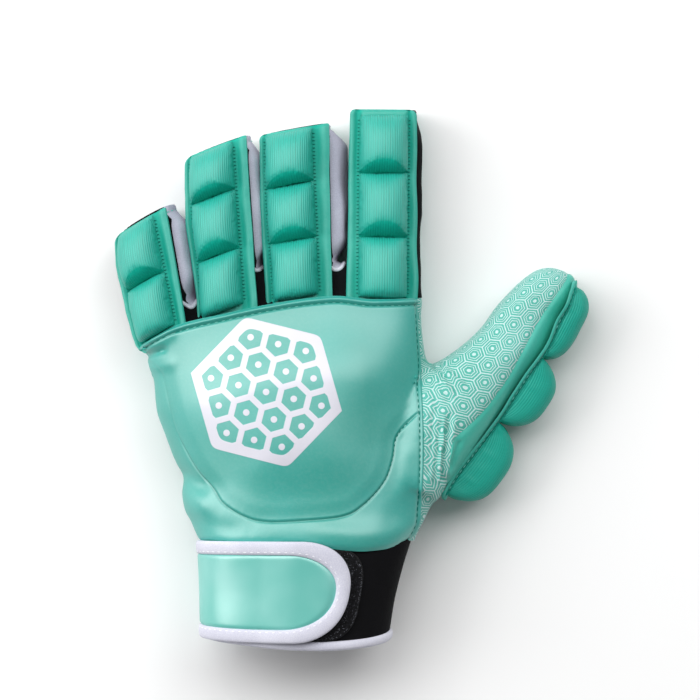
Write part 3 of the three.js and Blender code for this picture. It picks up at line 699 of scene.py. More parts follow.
def weave(m, size, strength=0.25, depth=0.00008, vector=None):
    """Fine jersey: two crossed waves at the given pitch in metres."""
    v = vector or m.coord.outputs["Object"]
    s = 0.5 / size / 3.0
    a = m.n("TexWave", {"Vector": v, "Scale": s, "Distortion": 0.6, "Detail": 1.0, "Detail Scale": 2.0},
            wave_type="BANDS", bands_direction="X").outputs[1]
    b = m.n("TexWave", {"Vector": v, "Scale": s * 0.8, "Distortion": 0.6, "Detail": 1.0, "Detail Scale": 2.0},
            wave_type="BANDS", bands_direction="Y").outputs[1]
    c = m.n("TexWave", {"Vector": v, "Scale": s, "Distortion": 0.6, "Detail": 1.0, "Detail Scale": 2.0},
            wave_type="BANDS", bands_direction="Z").outputs[1]
    h = m.math("MULTIPLY", m.math("ADD", m.math("ADD", a, b), c), 0.33)
    return m.bump(h, strength, depth)


def coat_noise(m, rough, lo=0.0):
    fine = m.noise(900.0, 3.0, 0.6)
    grain = m.n("TexVoronoi", {"Vector": m.coord.outputs["Object"], "Scale": 2400.0}, feature="SMOOTH_F1").outputs[0]
    soft = m.noise(160.0, 2.0)
    r = m.n("MapRange", {"Value": fine, "To Min": rough - 0.04, "To Max": rough + 0.06}).outputs[0]
    return fine, grain, soft, r


def mint_coated(name, base, hi, rough, channel=False):
    m = Nodes(name)
    big = m.ramp(m.noise(28.0, 3.0, 0.55), 0.35, 0.7)
    fine, grain, soft, r = coat_noise(m, rough)
    col = m.mix(big, base, hi)
    col = m.mix(m.math("MULTIPLY", m.ramp(fine, 0.35, 0.75), 0.02), col, (1, 1, 1, 1))
    spec = 0.85
    if channel:
        # painted shade: where the mask is high (the sewn channel beside the pads, the dip of the thumb's strip) the
        # colour turns deep saturated teal and the cloth less glossy
        painted_shade_or_reverse_side = m.n("Attribute", {}, attribute_name="painted_shade_or_reverse_side").outputs["Fac"]
        col = m.mix(m.math("MULTIPLY", painted_shade_or_reverse_side, 0.80, clamp=True), col, lin(0, 158, 138))
        spec = m.math("MULTIPLY_ADD", painted_shade_or_reverse_side, -0.6, 0.85)
    nrm = m.bump(soft, 0.05, 0.0006, m.bump(grain, 0.10, 0.00006))
    m.set(Base_Color=col, Roughness=r, Normal=nrm)
    m.set(Specular_IOR_Level=spec, Sheen_Weight=0.03, Sheen_Roughness=0.5)
    return m.mat


def cloth(name, base, hi, pitch=0.00042, rough=0.8, sheen=0.1, bump=0.35, spec=0.3):
    m = Nodes(name)
    big = m.ramp(m.noise(40.0, 3.0, 0.6), 0.35, 0.7)
    speck = m.ramp(m.noise(3800.0, 2.0, 0.6), 0.4, 0.65)
    col = m.mix(big, base, hi)
    light = [min(1.0, c * 1.7 + 0.004) for c in hi[:3]] + [1.0]
    col = m.mix(m.math("MULTIPLY", speck, 0.25), col, light)
    m.set(Base_Color=col, Roughness=rough, Normal=weave(m, pitch, bump))
    m.set(Specular_IOR_Level=spec)
    if sheen:
        m.set(Sheen_Weight=sheen, Sheen_Roughness=0.5)
    return m.mat


def knit(name):
    """Ribbed knit: ribs run along v of the map, u counts millimetres across."""
    m = Nodes(name)
    uv = m.coord.outputs["UV"]
    sep = m.n("SeparateXYZ", {"Vector": uv})
    u, v = sep.outputs[0], sep.outputs[1]
    wob = m.math("MULTIPLY", m.math("SUBTRACT", m.noise(120.0, 2.0), 0.5), 0.30)
    pitch = 0.92
    ph = m.math("MULTIPLY", m.math("ADD", u, wob), 2 * math.pi / pitch)
    rib = m.math("MULTIPLY_ADD", m.math("SINE", ph), 0.5, 0.5)
    rib = m.math("POWER", rib, 0.6)
    # small stitches along each rib, two columns leaning to each other
    lean_ = m.math("ABSOLUTE", m.math("SINE", m.math("MULTIPLY", ph, 0.5)))
    st = m.math("MULTIPLY_ADD", m.math("SINE", m.math("MULTIPLY", m.math("ADD", v, m.math("MULTIPLY", lean_, 0.35)), 2 * math.pi / 0.42)), 0.5, 0.5)
    h = m.math("ADD", rib, m.math("MULTIPLY", st, 0.22))
    some = m.ramp(m.n("TexNoise", {"Vector": m.n("CombineXYZ", {0: m.math("MULTIPLY", u, 1.6), 1: m.math("MULTIPLY", v, 0.12)}).outputs[0],
                                   "Scale": 1.0, "Detail": 2.0}).outputs[0], 0.30, 0.70)
    # painted shade: the valleys between the ribs go darker, in streaks of random strength, and the crests stay light
    dark, light = lin(0, 134, 116), lin(8, 170, 153)
    shade = m.mix(m.ramp(rib, 0.0, 0.7), m.mix(some, light, dark), light)
    # painted shade: the mask turns the pads' lower ends, their sewn sides and the whole thumb pads deep saturated teal,
    # and less glossy
    painted_shade_or_reverse_side = m.n("Attribute", {}, attribute_name="painted_shade_or_reverse_side").outputs["Fac"]
    shade = m.mix(m.math("MULTIPLY", painted_shade_or_reverse_side, 0.85, clamp=True), shade, lin(0, 158, 136))
    fuzz = m.noise(5200.0, 2.0, 0.6)
    shade = m.mix(m.math("MULTIPLY", m.ramp(fuzz, 0.45, 0.7), 0.03), shade, lin(170, 225, 215))
    m.set(Base_Color=shade, Roughness=0.52, Normal=m.bump(h, 0.8, 0.00014))
    m.set(Specular_IOR_Level=m.math("MULTIPLY_ADD", painted_shade_or_reverse_side, -0.85, 0.95))
    return m.mat


def hex_cell(m, uv, pitch):
    """Distances in a honeycomb: (distance to the cell's edge, distance to its middle), in pitches."""
    p = m.vec("SCALE", uv, scale=1.0 / pitch).outputs[0]
    r = (1.0, 1.7320508, 1.0)
    hlf = (0.5, 0.8660254, 0.5)
    big = (40.0, 40 * 1.7320508, 0.0)
    p = m.vec("ADD", p, big).outputs[0]
    a = m.vec("SUBTRACT", m.vec("MODULO", p, r).outputs[0], hlf).outputs[0]
    b = m.vec("SUBTRACT", m.vec("MODULO", m.vec("SUBTRACT", p, hlf).outputs[0], r).outputs[0], hlf).outputs[0]
    flat = (1.0, 1.0, 0.0)
    a = m.vec("MULTIPLY", a, flat).outputs[0]
    b = m.vec("MULTIPLY", b, flat).outputs[0]
    la = m.vec("LENGTH", a).outputs["Value"]
    lb = m.vec("LENGTH", b).outputs["Value"]
    pick = m.math("LESS_THAN", la, lb)
    ma = m.vec("MULTIPLY", a, m.n("CombineXYZ", {0: pick, 1: pick, 2: pick}).outputs[0]).outputs[0]
    inv = m.math("SUBTRACT", 1.0, pick)
    mb = m.vec("MULTIPLY", b, m.n("CombineXYZ", {0: inv, 1: inv, 2: inv}).outputs[0]).outputs[0]
    g = m.vec("ADD", ma, mb).outputs[0]
    ab = m.vec("ABSOLUTE", g).outputs[0]
    d = m.vec("DOT_PRODUCT", ab, (0.5, 0.8660254, 0.0)).outputs["Value"]
    gx = m.n("SeparateXYZ", {"Vector": ab}).outputs[0]
    edge = m.math("SUBTRACT", 0.5, m.math("MAXIMUM", d, gx))
    gs = m.n("SeparateXYZ", {"Vector": g})
    return edge, m.vec("LENGTH", g).outputs["Value"], gs.outputs[0], gs.outputs[1]


def printed(name):
    """Soft mint suede with a white honeycomb print; the map is in millimetres."""
    m = Nodes(name)
    uv = m.coord.outputs["UV"]
    jit = m.n("TexNoise", {"Vector": uv, "Scale": 0.8, "Detail": 1.0}).outputs[1]
    uvj = m.vec("ADD", uv, m.vec("SCALE", m.vec("SUBTRACT", jit, (0.5, 0.5, 0.5)).outputs[0], scale=0.30).outputs[0]).outputs[0]
    edge, mid, _, _ = hex_cell(m, uvj, 6.6)
    line = m.math("SUBTRACT", 1.0, m.ramp(edge, 0.020, 0.044))
    ring = m.math("SUBTRACT", 1.0, m.ramp(m.math("ABSOLUTE", m.math("SUBTRACT", edge, 0.145)), 0.012, 0.032))
    ring2 = m.math("SUBTRACT", 1.0, m.ramp(m.math("ABSOLUTE", m.math("SUBTRACT", edge, 0.265)), 0.010, 0.030))
    hub = m.math("SUBTRACT", 1.0, m.ramp(mid, 0.085, 0.115))
    ink = m.math("MAXIMUM", m.math("MAXIMUM", line, ring), m.math("MAXIMUM", hub, ring2))
    worn = m.ramp(m.n("TexNoise", {"Vector": uv, "Scale": 1.6, "Detail": 3.0, "Roughness": 0.65}).outputs[0], 0.30, 0.46)
    ink = m.math("MULTIPLY", ink, m.math("MULTIPLY_ADD", worn, 0.38, 0.42))
    big = m.ramp(m.noise(30.0, 3.0), 0.35, 0.7)
    ground = m.mix(big, lin(52, 166, 150), lin(72, 176, 162))
    # on the print pieces the attribute only marks the cloth's reverse side, which has no print
    inner = m.n("Attribute", {}, attribute_name="painted_shade_or_reverse_side").outputs["Fac"]
    ink = m.math("MULTIPLY", ink, m.math("LESS_THAN", inner, 0.02))
    col = m.mix(ink, ground, lin(206, 226, 226))
    col = m.mix(m.math("MULTIPLY", inner, 0.8, clamp=True), col, lin(150, 176, 176))
    fine = m.noise(2600.0, 3.0, 0.65)
    col = m.mix(m.math("MULTIPLY", m.ramp(fine, 0.4, 0.7), 0.08), col, (1, 1, 1, 1))
    nrm = m.bump(m.math("ADD", m.math("MULTIPLY", ink, 0.6), m.math("MULTIPLY", fine, 0.5)), 0.4, 0.00010)
    m.set(Base_Color=col, Roughness=m.math("MULTIPLY_ADD", ink, -0.15, 0.72), Normal=nrm)
    m.set(Specular_IOR_Level=0.5, Sheen_Weight=0.12, Sheen_Roughness=0.5)
    return m.mat


def back_mat(name):
    """Coated cloth of the back with the white badge: a honeycomb in a rounded hexagon. The map is in millimetres."""
    m = Nodes(name)
    uv = m.coord.outputs["UV"]
    big = m.ramp(m.noise(26.0, 3.0, 0.55), 0.32, 0.72)
    col = m.mix(big, lin(8, 153, 140), lin(26, 162, 151))
    fine, grain, soft, rough = coat_noise(m, 0.45)
    col = m.mix(m.math("MULTIPLY", m.ramp(fine, 0.35, 0.75), 0.02), col, (1, 1, 1, 1))
    c = m.vec("SUBTRACT", uv, (BADGE["x"], BADGE["y"], 0.0)).outputs[0]
    rot = m.n("VectorRotate", {"Vector": c, "Angle": math.radians(BADGE["turn"])}, rotation_type="Z_AXIS").outputs[0]
    ab = m.vec("ABSOLUTE", rot).outputs[0]
    d = m.vec("DOT_PRODUCT", ab, (0.8660254, 0.5, 0.0)).outputs["Value"]
    gy = m.n("SeparateXYZ", {"Vector": ab}).outputs[1]
    flat = m.math("SMOOTH_MAX", d, gy, 3.0)
    radius = BADGE["r"]
    inside = m.math("SUBTRACT", 1.0, m.ramp(flat, radius - 0.12, radius + 0.12))
    core = m.math("SUBTRACT", 1.0, m.ramp(flat, radius - 3.5 - 0.12, radius - 3.5 + 0.12))
    edge, mid, _, _ = hex_cell(m, rot, BADGE["cell"])
    hole = m.ramp(edge, 0.095, 0.118)
    hub = m.math("SUBTRACT", 1.0, m.ramp(mid, 0.105, 0.125))
    hole = m.math("MULTIPLY", hole, m.math("SUBTRACT", 1.0, hub))
    ink = m.math("MULTIPLY", inside, m.math("SUBTRACT", 1.0, m.math("MULTIPLY", hole, core)))
    # painted shade: darker saturated teal in the grooves of the hem, of the seam and along the foam's edge
    painted_shade_or_reverse_side = m.n("Attribute", {}, attribute_name="painted_shade_or_reverse_side").outputs["Fac"]
    col = m.mix(m.math("MULTIPLY", painted_shade_or_reverse_side, 0.8, clamp=True), col, lin(6, 132, 118))
    col = m.mix(ink, col, lin(204, 203, 214))
    h = m.math("ADD", m.math("MULTIPLY", grain, 0.25), ink)
    nrm = m.bump(soft, 0.05, 0.0006, m.bump(h, 0.30, 0.00012))
    m.set(Base_Color=col, Roughness=rough, Normal=nrm)
    m.set(Specular_IOR_Level=1.0, IOR=1.7)
    return m.mat


def pile(name):
    m = Nodes(name)
    n1 = m.noise(1500.0, 4.0, 0.75)
    n2 = m.n("TexVoronoi", {"Vector": m.coord.outputs["Object"], "Scale": 1500.0}, feature="F1").outputs[0]
    h = m.math("ADD", n1, m.math("MULTIPLY", n2, -0.8))
    col = m.mix(m.ramp(n1, 0.45, 0.8), lin(8, 8, 11), lin(44, 45, 52))
    m.set(Base_Color=col, Roughness=0.95, Normal=m.bump(h, 1.0, 0.0006))
    m.set(Sheen_Weight=0.05, Sheen_Roughness=0.6, Specular_IOR_Level=0.15)
    return m.mat


def strap_face(name):
    m = Nodes(name)
    big = m.ramp(m.noise(45.0, 2.0), 0.35, 0.7)
    col = m.mix(big, lin(84, 182, 170), lin(106, 190, 180))
    fine = m.noise(1400.0, 2.0, 0.5)
    nrm = m.bump(fine, 0.06, 0.00006)
    nrm = m.bump(m.noise(220.0, 2.0), 0.08, 0.0004, nrm)
    m.set(Base_Color=col, Roughness=m.n("MapRange", {"Value": fine, "To Min": 0.34, "To Max": 0.42}).outputs[0], Normal=nrm)
    m.set(IOR=1.75, Specular_IOR_Level=1.0)
    return m.mat


BADGE = dict(x=-30.0, y=-4.4, r=24.2, turn=14.0, cell=10.2)
MATS = {
    "back": back_mat("coated_back"),
    "flange": mint_coated("coated_strip", lin(14, 160, 142), lin(32, 170, 152), 0.56, True),
    "gusset": mint_coated("coated_gusset", lin(44, 176, 156), lin(60, 186, 168), 0.55),
    "knit": knit("ribbed_knit"),
    "print": printed("printed_suede"),
    # side cloth between the fingers: the white cloth painted darker and greyer, as painted shade between the fingers
    "side": cloth("white_side_cloth", lin(172, 170, 188), lin(188, 186, 202), 0.00040, 0.8, 0.0, 0.20),
    "white": cloth("white_jersey", lin(192, 192, 208), lin(208, 208, 222), 0.00040, 0.7, 0.05, 0.30),
    "black": cloth("black_lining", lin(5, 6, 8), lin(9, 10, 13), 0.00045, 0.85, 0.0, 0.35, 0.12),
    "neoprene": cloth("neoprene", lin(5, 5, 7), lin(10, 10, 13), 0.00055, 0.80, 0.0, 0.5, 0.12),
    "pile": pile("loop_pile"),
    "fuzz": cloth("loop_fuzz", lin(52, 54, 60), lin(120, 122, 130), 0.00030, 0.8, 0.0, 0.1),
    "strap": strap_face("strap_face"),
    "thread": cloth("thread_mint", lin(84, 180, 168), lin(112, 194, 184), 0.00030, 0.6, 0.05, 0.2),
    "thread_dark": cloth("thread_teal", lin(8, 100, 90), lin(16, 116, 104), 0.00030, 0.8, 0.0, 0.2, 0.1),
    "thread_white": cloth("thread_white", lin(222, 222, 230), lin(236, 236, 242), 0.00030, 0.6, 0.05, 0.2),
    "thread_black": cloth("thread_black", lin(8, 8, 10), lin(22, 22, 26), 0.00030, 0.6, 0.0, 0.2),
}

# ------------------------------------------------------------- hand bodies
VOXEL = 1.0


def palm_solid(top_cut, reach):
    """The palm's loft. top_cut lowers it to the finger tubes near the hem; reach carries it past the hem."""
    m, n = 64, 128
    w = np.linspace(-0.11, 1 + reach, m)
    y0, y1 = PALM[0, 0], PALM[-1, 0]
    key = y0 + np.clip(w, 0.0, 1.0) * (y1 - y0)
    cols = {c: cubic(PALM[:, 0], PALM[:, i], key) for i, c in enumerate(PALM_COLS) if i}
    t = np.arange(n) / n * 2 * math.pi
    a = (cols["right"] - cols["left"]) / 2
    cx = (cols["right"] + cols["left"]) / 2
    top = cols["top"]
    if top_cut:
        top = top + (23.6 - top) * smooth((key - 2.0) / 20.0)
    cz = cols["top"] * 0.4
    x = cx[:, None] + a[:, None] * power(np.cos(t), 2 / ROUND)[None]
    s = np.sign(np.sin(t))[None] * np.abs(np.sin(t))[None] ** (2 / cols["square"])[:, None]
    z = np.where(s > 0, cz[:, None] + (top - cz)[:, None] * s, cz[:, None] + (cz + 0.8)[:, None] * s)
    y = y0 + w[:, None] * (hem_y(x) - y0)
    z = np.maximum(z, 0)
    return loft(np.stack([x, y, z], -1))


class Finger:
    def __init__(self, d):
        self.__dict__.update(d)
        v = np.array([self.tx - self.bx, self.ty - self.by, 0.0])
        self.length = np.linalg.norm(v)
        self.dir = v / self.length
        side = np.array([self.dir[1], -self.dir[0], 0.0])
        r = math.radians(self.roll)
        z = np.array([0, 0, 1.0])
        self.across = side * math.cos(r) + z * math.sin(r)
        self.up = -side * math.sin(r) + z * math.cos(r)

    def size(self, v):
        return self.aB + (self.aT - self.aB) * v, self.bB + (self.bT - self.bB) * v

    def centre(self, v):
        v = np.atleast_1d(np.asarray(v, float))
        a, b = self.size(v)
        t = np.arange(48) / 48 * 2 * math.pi
        z = (a[:, None] * power(np.cos(t), 2 / ROUND) * self.across[2] + b[:, None] * power(np.sin(t), 2 / ROUND) * self.up[2])
        depth = (-z).max(1)
        return np.stack([self.bx + (self.tx - self.bx) * v, self.by + (self.ty - self.by) * v, depth - 0.8], 1)

    def v_of(self, y):
        return (np.asarray(y, float) - self.by) / (self.ty - self.by)

    def solid(self, end):
        v = np.linspace(0, end, 40)
        a, b = self.size(v)
        c = self.centre(v)
        t = np.arange(64) / 64 * 2 * math.pi
        p = (c[:, None] + self.across * (a[:, None] * power(np.cos(t), 2 / ROUND))[..., None]
             + self.up * (b[:, None] * power(np.sin(t), 2 / ROUND))[..., None])
        p[..., 2] = np.maximum(p[..., 2], 0)
        return loft(p)

    def frame_of(self, p):
        """(s, t, n) of points: mm along, across and up from the finger's middle line."""
        s = (p - np.array([self.bx, self.by, 0])) @ self.dir
        c = self.centre(s / self.length)
        q = p - c
        return s, q @ self.across, q @ self.up

    def on_strip(self, y, t, lift, droop=0.011):
        y, t, lift = np.broadcast_arrays(np.asarray(y, float), np.asarray(t, float), np.asarray(lift, float))
        v = self.v_of(y).ravel()
        b = self.size(v)[1]
        c = self.centre(v)
        tt, ll = t.ravel(), lift.ravel()
        q = c + self.dir * (tt * self.skew)[:, None] + self.across * tt[:, None] + self.up * (b + ll - droop * tt**2)[:, None]
        return q.reshape(y.shape + (3,))


FINGER = [Finger(d) for d in FINGERS]


def crotch_solid(c):
    rows = [(5.7, 1.0), (c["y"] - 9, 1.0), (c["y"] - 5, 0.98), (c["y"] - 2, 0.88), (c["y"], 0.66)]
    t = np.arange(48) / 48 * 2 * math.pi
    rings = []
    for y, k in rows:
        b = (c["top"] + 0.8) / 2 * (0.5 + 0.5 * k)
        z = np.maximum((c["top"] - 0.8) / 2 + b * power(np.sin(t), 0.75), 0)
        rings.append(np.stack([c["x"] + c["half"] * power(np.cos(t), 0.75), np.full(48, y), z], 1))
    return loft(np.array(rings))


def thumb_row(v):
    i = np.arange(len(THUMB))
    return np.stack([cubic(i, THUMB[:, k], v) for k in range(6)], -1)


def thumb_solid():
    v = np.linspace(0, len(THUMB) - 1, 90)
    r = thumb_row(v)
    t = np.arange(96) / 96 * 2 * math.pi
    dx, dy = r[:, 2] - r[:, 0], r[:, 3] - r[:, 1]
    w = np.hypot(dx, dy)
    k = (w / 2)[:, None] * power(np.cos(t), 2 / ROUND)
    b = (r[:, 5] - r[:, 4]) / 2
    z = ((r[:, 5] + r[:, 4]) / 2)[:, None] + b[:, None] * power(np.sin(t), 2 / ROUND)
    x = ((r[:, 0] + r[:, 2]) / 2)[:, None] + (dx / w)[:, None] * k
    y = ((r[:, 1] + r[:, 3]) / 2)[:, None] + (dy / w)[:, None] * k
    return loft(np.stack([x, y, np.maximum(z, 0)], -1))


def settle(v, f, rounds):
    """Smooths a body and lays its underside flat again."""
    low = v[:, 2] < 0.6
    v = laplace(v, f, rounds)
    press = np.where(low, 1.0, smooth((2.4 - v[:, 2]) / 2.4))
    v[:, 2] = np.where(v[:, 2] < 0.5, 0.02, v[:, 2])
    v[:, 2] = np.where(low & (v[:, 2] < 1.2), 0.02 + (v[:, 2] - 0.02) * 0.3 * (1 - press), v[:, 2])
    return v


rounds = 10
VA, FA = remesh([palm_solid(False, 0.09), thumb_solid()], VOXEL)
VA = settle(VA, FA, rounds)
VB, FB = remesh([palm_solid(True, 0.0), thumb_solid()] + [g.solid(1.0 + 8.0 / g.length) for g in FINGER] + [crotch_solid(c) for c in CROTCHES], VOXEL)
VB = settle(VB, FB, rounds)


def crease(v, a, b, width, depth, plane=True):
    """Depth of a straight fold between two plan points, soft at its ends."""
    a, b = np.array(a, float), np.array(b, float)
    d = b - a
    l = np.linalg.norm(d)
    d /= l
    q = v[:, :2] - a
    s = q @ d
    t = q @ np.array([-d[1], d[0]])
    fade = smooth((s + width) / (2 * width)) * smooth((l - s + width) / (2 * width))
    return depth * np.exp(-(t / width) ** 2) * fade


def split_near(v, f, near):
    """Splits the triangles whose three corners are near a line into four, and their neighbours to match."""
    e = np.sort(np.vstack([f[:, [0, 1]], f[:, [1, 2]], f[:, [2, 0]]]), 1)
    both = near[e].all(1)
    keys, back_ = np.unique(e[both], axis=0, return_inverse=True)
    mid = np.full(len(e), -1)
    mid[both] = len(v) + back_.ravel()
    m = mid.reshape(3, -1).T
    w = np.vstack([v, v[keys].mean(1)])
    count = (m >= 0).sum(1)
    keep = f[count == 0]
    a, b = f[count == 3], m[count == 3]
    four = np.vstack([np.stack([a[:, 0], b[:, 0], b[:, 2]], 1), np.stack([b[:, 0], a[:, 1], b[:, 1]], 1),
                      np.stack([b[:, 2], b[:, 1], a[:, 2]], 1), b])
    two = [np.zeros((0, 3), int)]
    for k in range(3):
        sel = (count == 1) & (m[:, k] >= 0)
        c, h = f[sel], m[sel, k]
        i, j, o = c[:, k], c[:, (k + 1) % 3], c[:, (k + 2) % 3]
        two += [np.stack([i, h, o], 1), np.stack([h, j, o], 1)]
    return w, np.vstack([keep, four] + two)


# ----------------------------------------------------------- back panel
def dome_height(x, y):
    """Height of the foam under the back's cloth, rounded where its sides meet."""
    gx, gy = np.arange(-100.0, 50.0), np.arange(-80.0, 70.0)
    mx, my = np.meshgrid(gx, gy, indexing="ij")
    d = -polyline_distance(mx.ravel(), my.ravel(), smooth_line(DOME_EDGE, 160)).reshape(mx.shape)
    d = np.where(my > 12, np.maximum(d, 12), d)
    h = smooth((d + 1) / 30)
    k = np.exp(-(np.arange(-14, 15) / 5.0) ** 2)
    k /= k.sum()
    h = np.apply_along_axis(lambda r: np.convolve(np.pad(r, 14, mode="edge"), k, mode="valid"), 0, h)
    h = np.apply_along_axis(lambda r: np.convolve(np.pad(r, 14, mode="edge"), k, mode="valid"), 1, h)
    u, w = np.clip(x - gx[0], 0, len(gx) - 1.001), np.clip(y - gy[0], 0, len(gy) - 1.001)
    i, j = u.astype(int), w.astype(int)
    u, w = u - i, w - j
    return (h[i, j] * (1 - u) + h[i + 1, j] * u) * (1 - w) + (h[i, j + 1] * (1 - u) + h[i + 1, j + 1] * u) * w


def build_back():
    v, f = VA.copy(), FA
    for wide in (1.0, 0.62):                 # finer cloth along the seams and the foam's edge
        d = polyline_distance(v[:, 0], v[:, 1], smooth_line(DOME_EDGE, 160))
        h = hem_y(v[:, 0]) - v[:, 1]
        s = seam_x(v[:, 1]) - v[:, 0]
        near = (np.abs(d) < 2.2 * wide) & (v[:, 1] < 14) | (np.abs(h - 1.7) < 3.0 * wide) | (np.abs(s - 1.2) < 2.6 * wide)
        v, f = split_near(v, f, near & (v[:, 2] > 7) & (h > -2) & (s > -2))
    n = vertex_normals(v, f)
    up = smooth((n[:, 2] + 0.15) / 0.5) * smooth((v[:, 2] - 8) / 8)
    d = polyline_distance(v[:, 0], v[:, 1], smooth_line(DOME_EDGE, 160))
    d = -d                                   # positive on the foam's side
    d = np.where(v[:, 1] > 12, np.maximum(d, 12), d)
    h = hem_y(v[:, 0]) - v[:, 1]
    s = seam_x(v[:, 1]) - v[:, 0]
    w = v[:, 1] - heel_y(v[:, 0])
    sz = v[:, 2] - seam_z(v[:, 0])
    fade = (0.25 + 0.75 * smooth((h - 2) / 30) * smooth((s + 2) / 26)) * smooth((s + 0.2) / 3.0)
    left = smooth((v[:, 0] + 66) / 12)
    foam = (0.40 * smooth((d + 0.3) / 1.0) * (0.3 + 0.7 * left) + 0.7 * smooth(d / 6) + 6.6 * dome_height(v[:, 0], v[:, 1])) * fade
    groove = -0.40 * np.exp(-((d + 0.1) / 0.50) ** 2) * smooth((s - 0.5) / 4) * (0.25 + 0.75 * left)
    v += n * ((foam + groove) * up)[:, None]
    # soft dent of the foam beside the index knuckle, swell of the heel, folds
    soft = 0.0
    soft = soft + crease(v, (4.0, 8.0), (9.0, -14.0), 6.0, -0.25) + crease(v, (12.0, 10.0), (15.0, -8.0), 5.0, 0.1)
    soft = soft + crease(v, (-76.5, 7.4), (-66.0, 11.0), 1.2, -1.5) + crease(v, (-74.0, 12.0), (-63.0, 17.0), 2.2, 0.8)
    soft = soft + crease(v, (-72.0, 4.0), (-62.0, 6.0), 2.4, 0.6)
    soft = soft + crease(v, (-61.0, -33.0), (-51.0, -39.0), 2.8, -0.9) + crease(v, (-62.0, -39.0), (-50.0, -46.0), 3.6, 0.9)
    soft = soft + crease(v, (-60.0, -50.0), (-40.0, -54.0), 3.0, -0.5)
    soft = soft + crease(v, (-34.0, -54.5), (12.0, -53.0), 4.0, 0.5) + crease(v, (14.0, -46.0), (22.0, -54.0), 3.4, -0.25)
    soft = soft + crease(v, (21.0, -24.0), (18.0, -42.0), 3.0, 0.6)
    soft = soft + 1.1 * np.exp(-((w - 5.0) / 4.0) ** 2) * smooth((v[:, 0] + 20) / 16) * smooth((v[:, 2] - 14) / 10)
    lowfreq = hash_noise(v / 24.0, 3) * 0.16 + hash_noise(v / 9.0, 5) * 0.07
    v += n * ((soft + lowfreq * smooth((s + 1) / 6) * smooth(h / 6)) * smooth((v[:, 2] - 8) / 6))[:, None]
    # cloth stands a little proud of the layers that it covers
    v += n * (0.35 * smooth((v[:, 2] - 9) / 4))[:, None]
    n = vertex_normals(v, f)
    sz = v[:, 2] - seam_z(v[:, 0])
    extra = np.column_stack([n, h, s, sz, w, d])
    field = np.minimum(np.minimum(h, s), np.minimum(sz, w))
    v, f, extra = clip(v, f, extra, field)
    v, f, extra = biggest(v, f, extra)
    n = extra[:, :3] / np.linalg.norm(extra[:, :3], axis=1)[:, None]
    h, s, zf, w, d = extra[:, 3:8].T
    # turned edges: the cloth rolls under at the hem, at the seam and over the cuff
    roll = -1.1 * np.exp(-(np.maximum(np.minimum(h, s), 0) / 0.6) ** 2) - 0.5 * np.exp(-(zf / 0.8) ** 2)
    roll = roll - 0.8 * np.exp(-(np.maximum(w, 0) / 0.9) ** 2)
    groove = -0.60 * np.exp(-((h - 2.55) / 0.50) ** 2) - 0.35 * np.exp(-((s - 1.9) / 0.5) ** 2)
    wob = 1 + 0.3 * hash_noise(v / 4.0, 8)
    puff = 0.50 * np.exp(-((h - 1.25) / 0.75) ** 2) * wob + 0.28 * np.exp(-((s - 0.9) / 0.6) ** 2)
    v = v + n * (groove + puff + roll)[:, None]
    vv, ff = thicken(v, f, n, 1.9 - 1.0 * smooth((5.0 - w) / 3.0))
    uv = np.vstack([v[:, :2], v[:, :2]])
    # painted shade in the hem's groove, the seam's groove and the groove along the foam's edge
    painted_shade_or_reverse_side = 0.9 * np.exp(-((h - 2.55) / 0.45) ** 2) + 0.6 * np.exp(-((s - 1.9) / 0.4) ** 2)
    painted_shade_or_reverse_side = painted_shade_or_reverse_side + 0.75 * np.exp(-((d + 0.1) / 0.45) ** 2) * smooth((s - 0.5) / 4) * (0.2 + 0.8 * smooth((v[:, 0] + 62) / 12))
    ob = put("back_panel_cloth", vv, ff, MATS["back"], sharp=50, uv=uv, painted_shade_or_reverse_side=np.r_[painted_shade_or_reverse_side, painted_shade_or_reverse_side * 0])
    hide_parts("back_panel")
    return v, f, n, h, s, zf, d


back = build_back()


def line_on(mesh, field, level, lift=0.0, keep=None, n_per_mm=0.9, soft=3):
    """Resampled contour of a field on a built sheet, with its normals."""
    v, f, n = mesh[:3]
    p, q = contour(v, f, field, level, n)
    if p is None:
        return None, None
    if keep is not None:
        k = keep(p)
        p, q = p[k], q[k]
    m = max(8, int(line_length(p) * n_per_mm))
    both = resample(np.hstack([p, q]), m)
    p, q = relax(both[:, :3], soft), relax(both[:, 3:], soft)
    q /= np.linalg.norm(q, axis=1)[:, None]
    return p + q * lift, q


parts = []
bv, bf, bn, bh, bs, bz, bd = back
p, q = line_on(back, bh, 2.55, 0.02)
parts.append(stitches(p, q, 2.3, 0.35, 0.18, -0.04))
p, q = line_on(back, bs, 1.9, 0.06, keep=lambda p: p[:, 1] < 24)
parts.append(stitches(p, q, 1.7, 0.5, 0.18, 0.0))
p, q = line_on(back, bd, -0.1, 0.0, keep=lambda p: (p[:, 0] > 5) & (p[:, 0] < 21) & (p[:, 1] < -14))
parts.append(stitches(p, q, 1.2, 0.6, 0.16, -0.02))
v, fl = merge(parts)
put("back_panel_thread", v, fl, MATS["thread_dark"])


# ------------------------------------------------ cloth of palm, fingers, thumb
def body_fields(v):
    """What splits the hand body into its cloth pieces."""
    x, y, z = v.T
    hem = hem_y(x)
    # finger frames, blended by nearness so that they change smoothly at the crotches
    num = np.zeros(len(v))
    den = np.zeros(len(v))
    best = np.full(len(v), 1e9)
    near_t = np.zeros(len(v))
    tip = np.zeros(len(v))
    which = np.zeros(len(v), int)
    for i, g in enumerate(FINGER):
        s, t, n = g.frame_of(v)
        w = np.exp(-(t / 7.0) ** 2) + 1e-9
        num += n * w
        den += w
        near = np.abs(t) < best
        end = g.v_of(g.end) * g.length + g.skew * np.clip(t, -13, 13) + g.proud - s
        best = np.where(near, np.abs(t), best)
        near_t = np.where(near, t, near_t)
        tip = np.where(near, end, tip)
        which = np.where(near, i, which)
    return hem, num / den, near_t, which, np.where(y > 40, tip, 50.0)


def axis_x(i, y):
    g = FINGER[i]
    return g.bx + (g.tx - g.bx) * g.v_of(y)


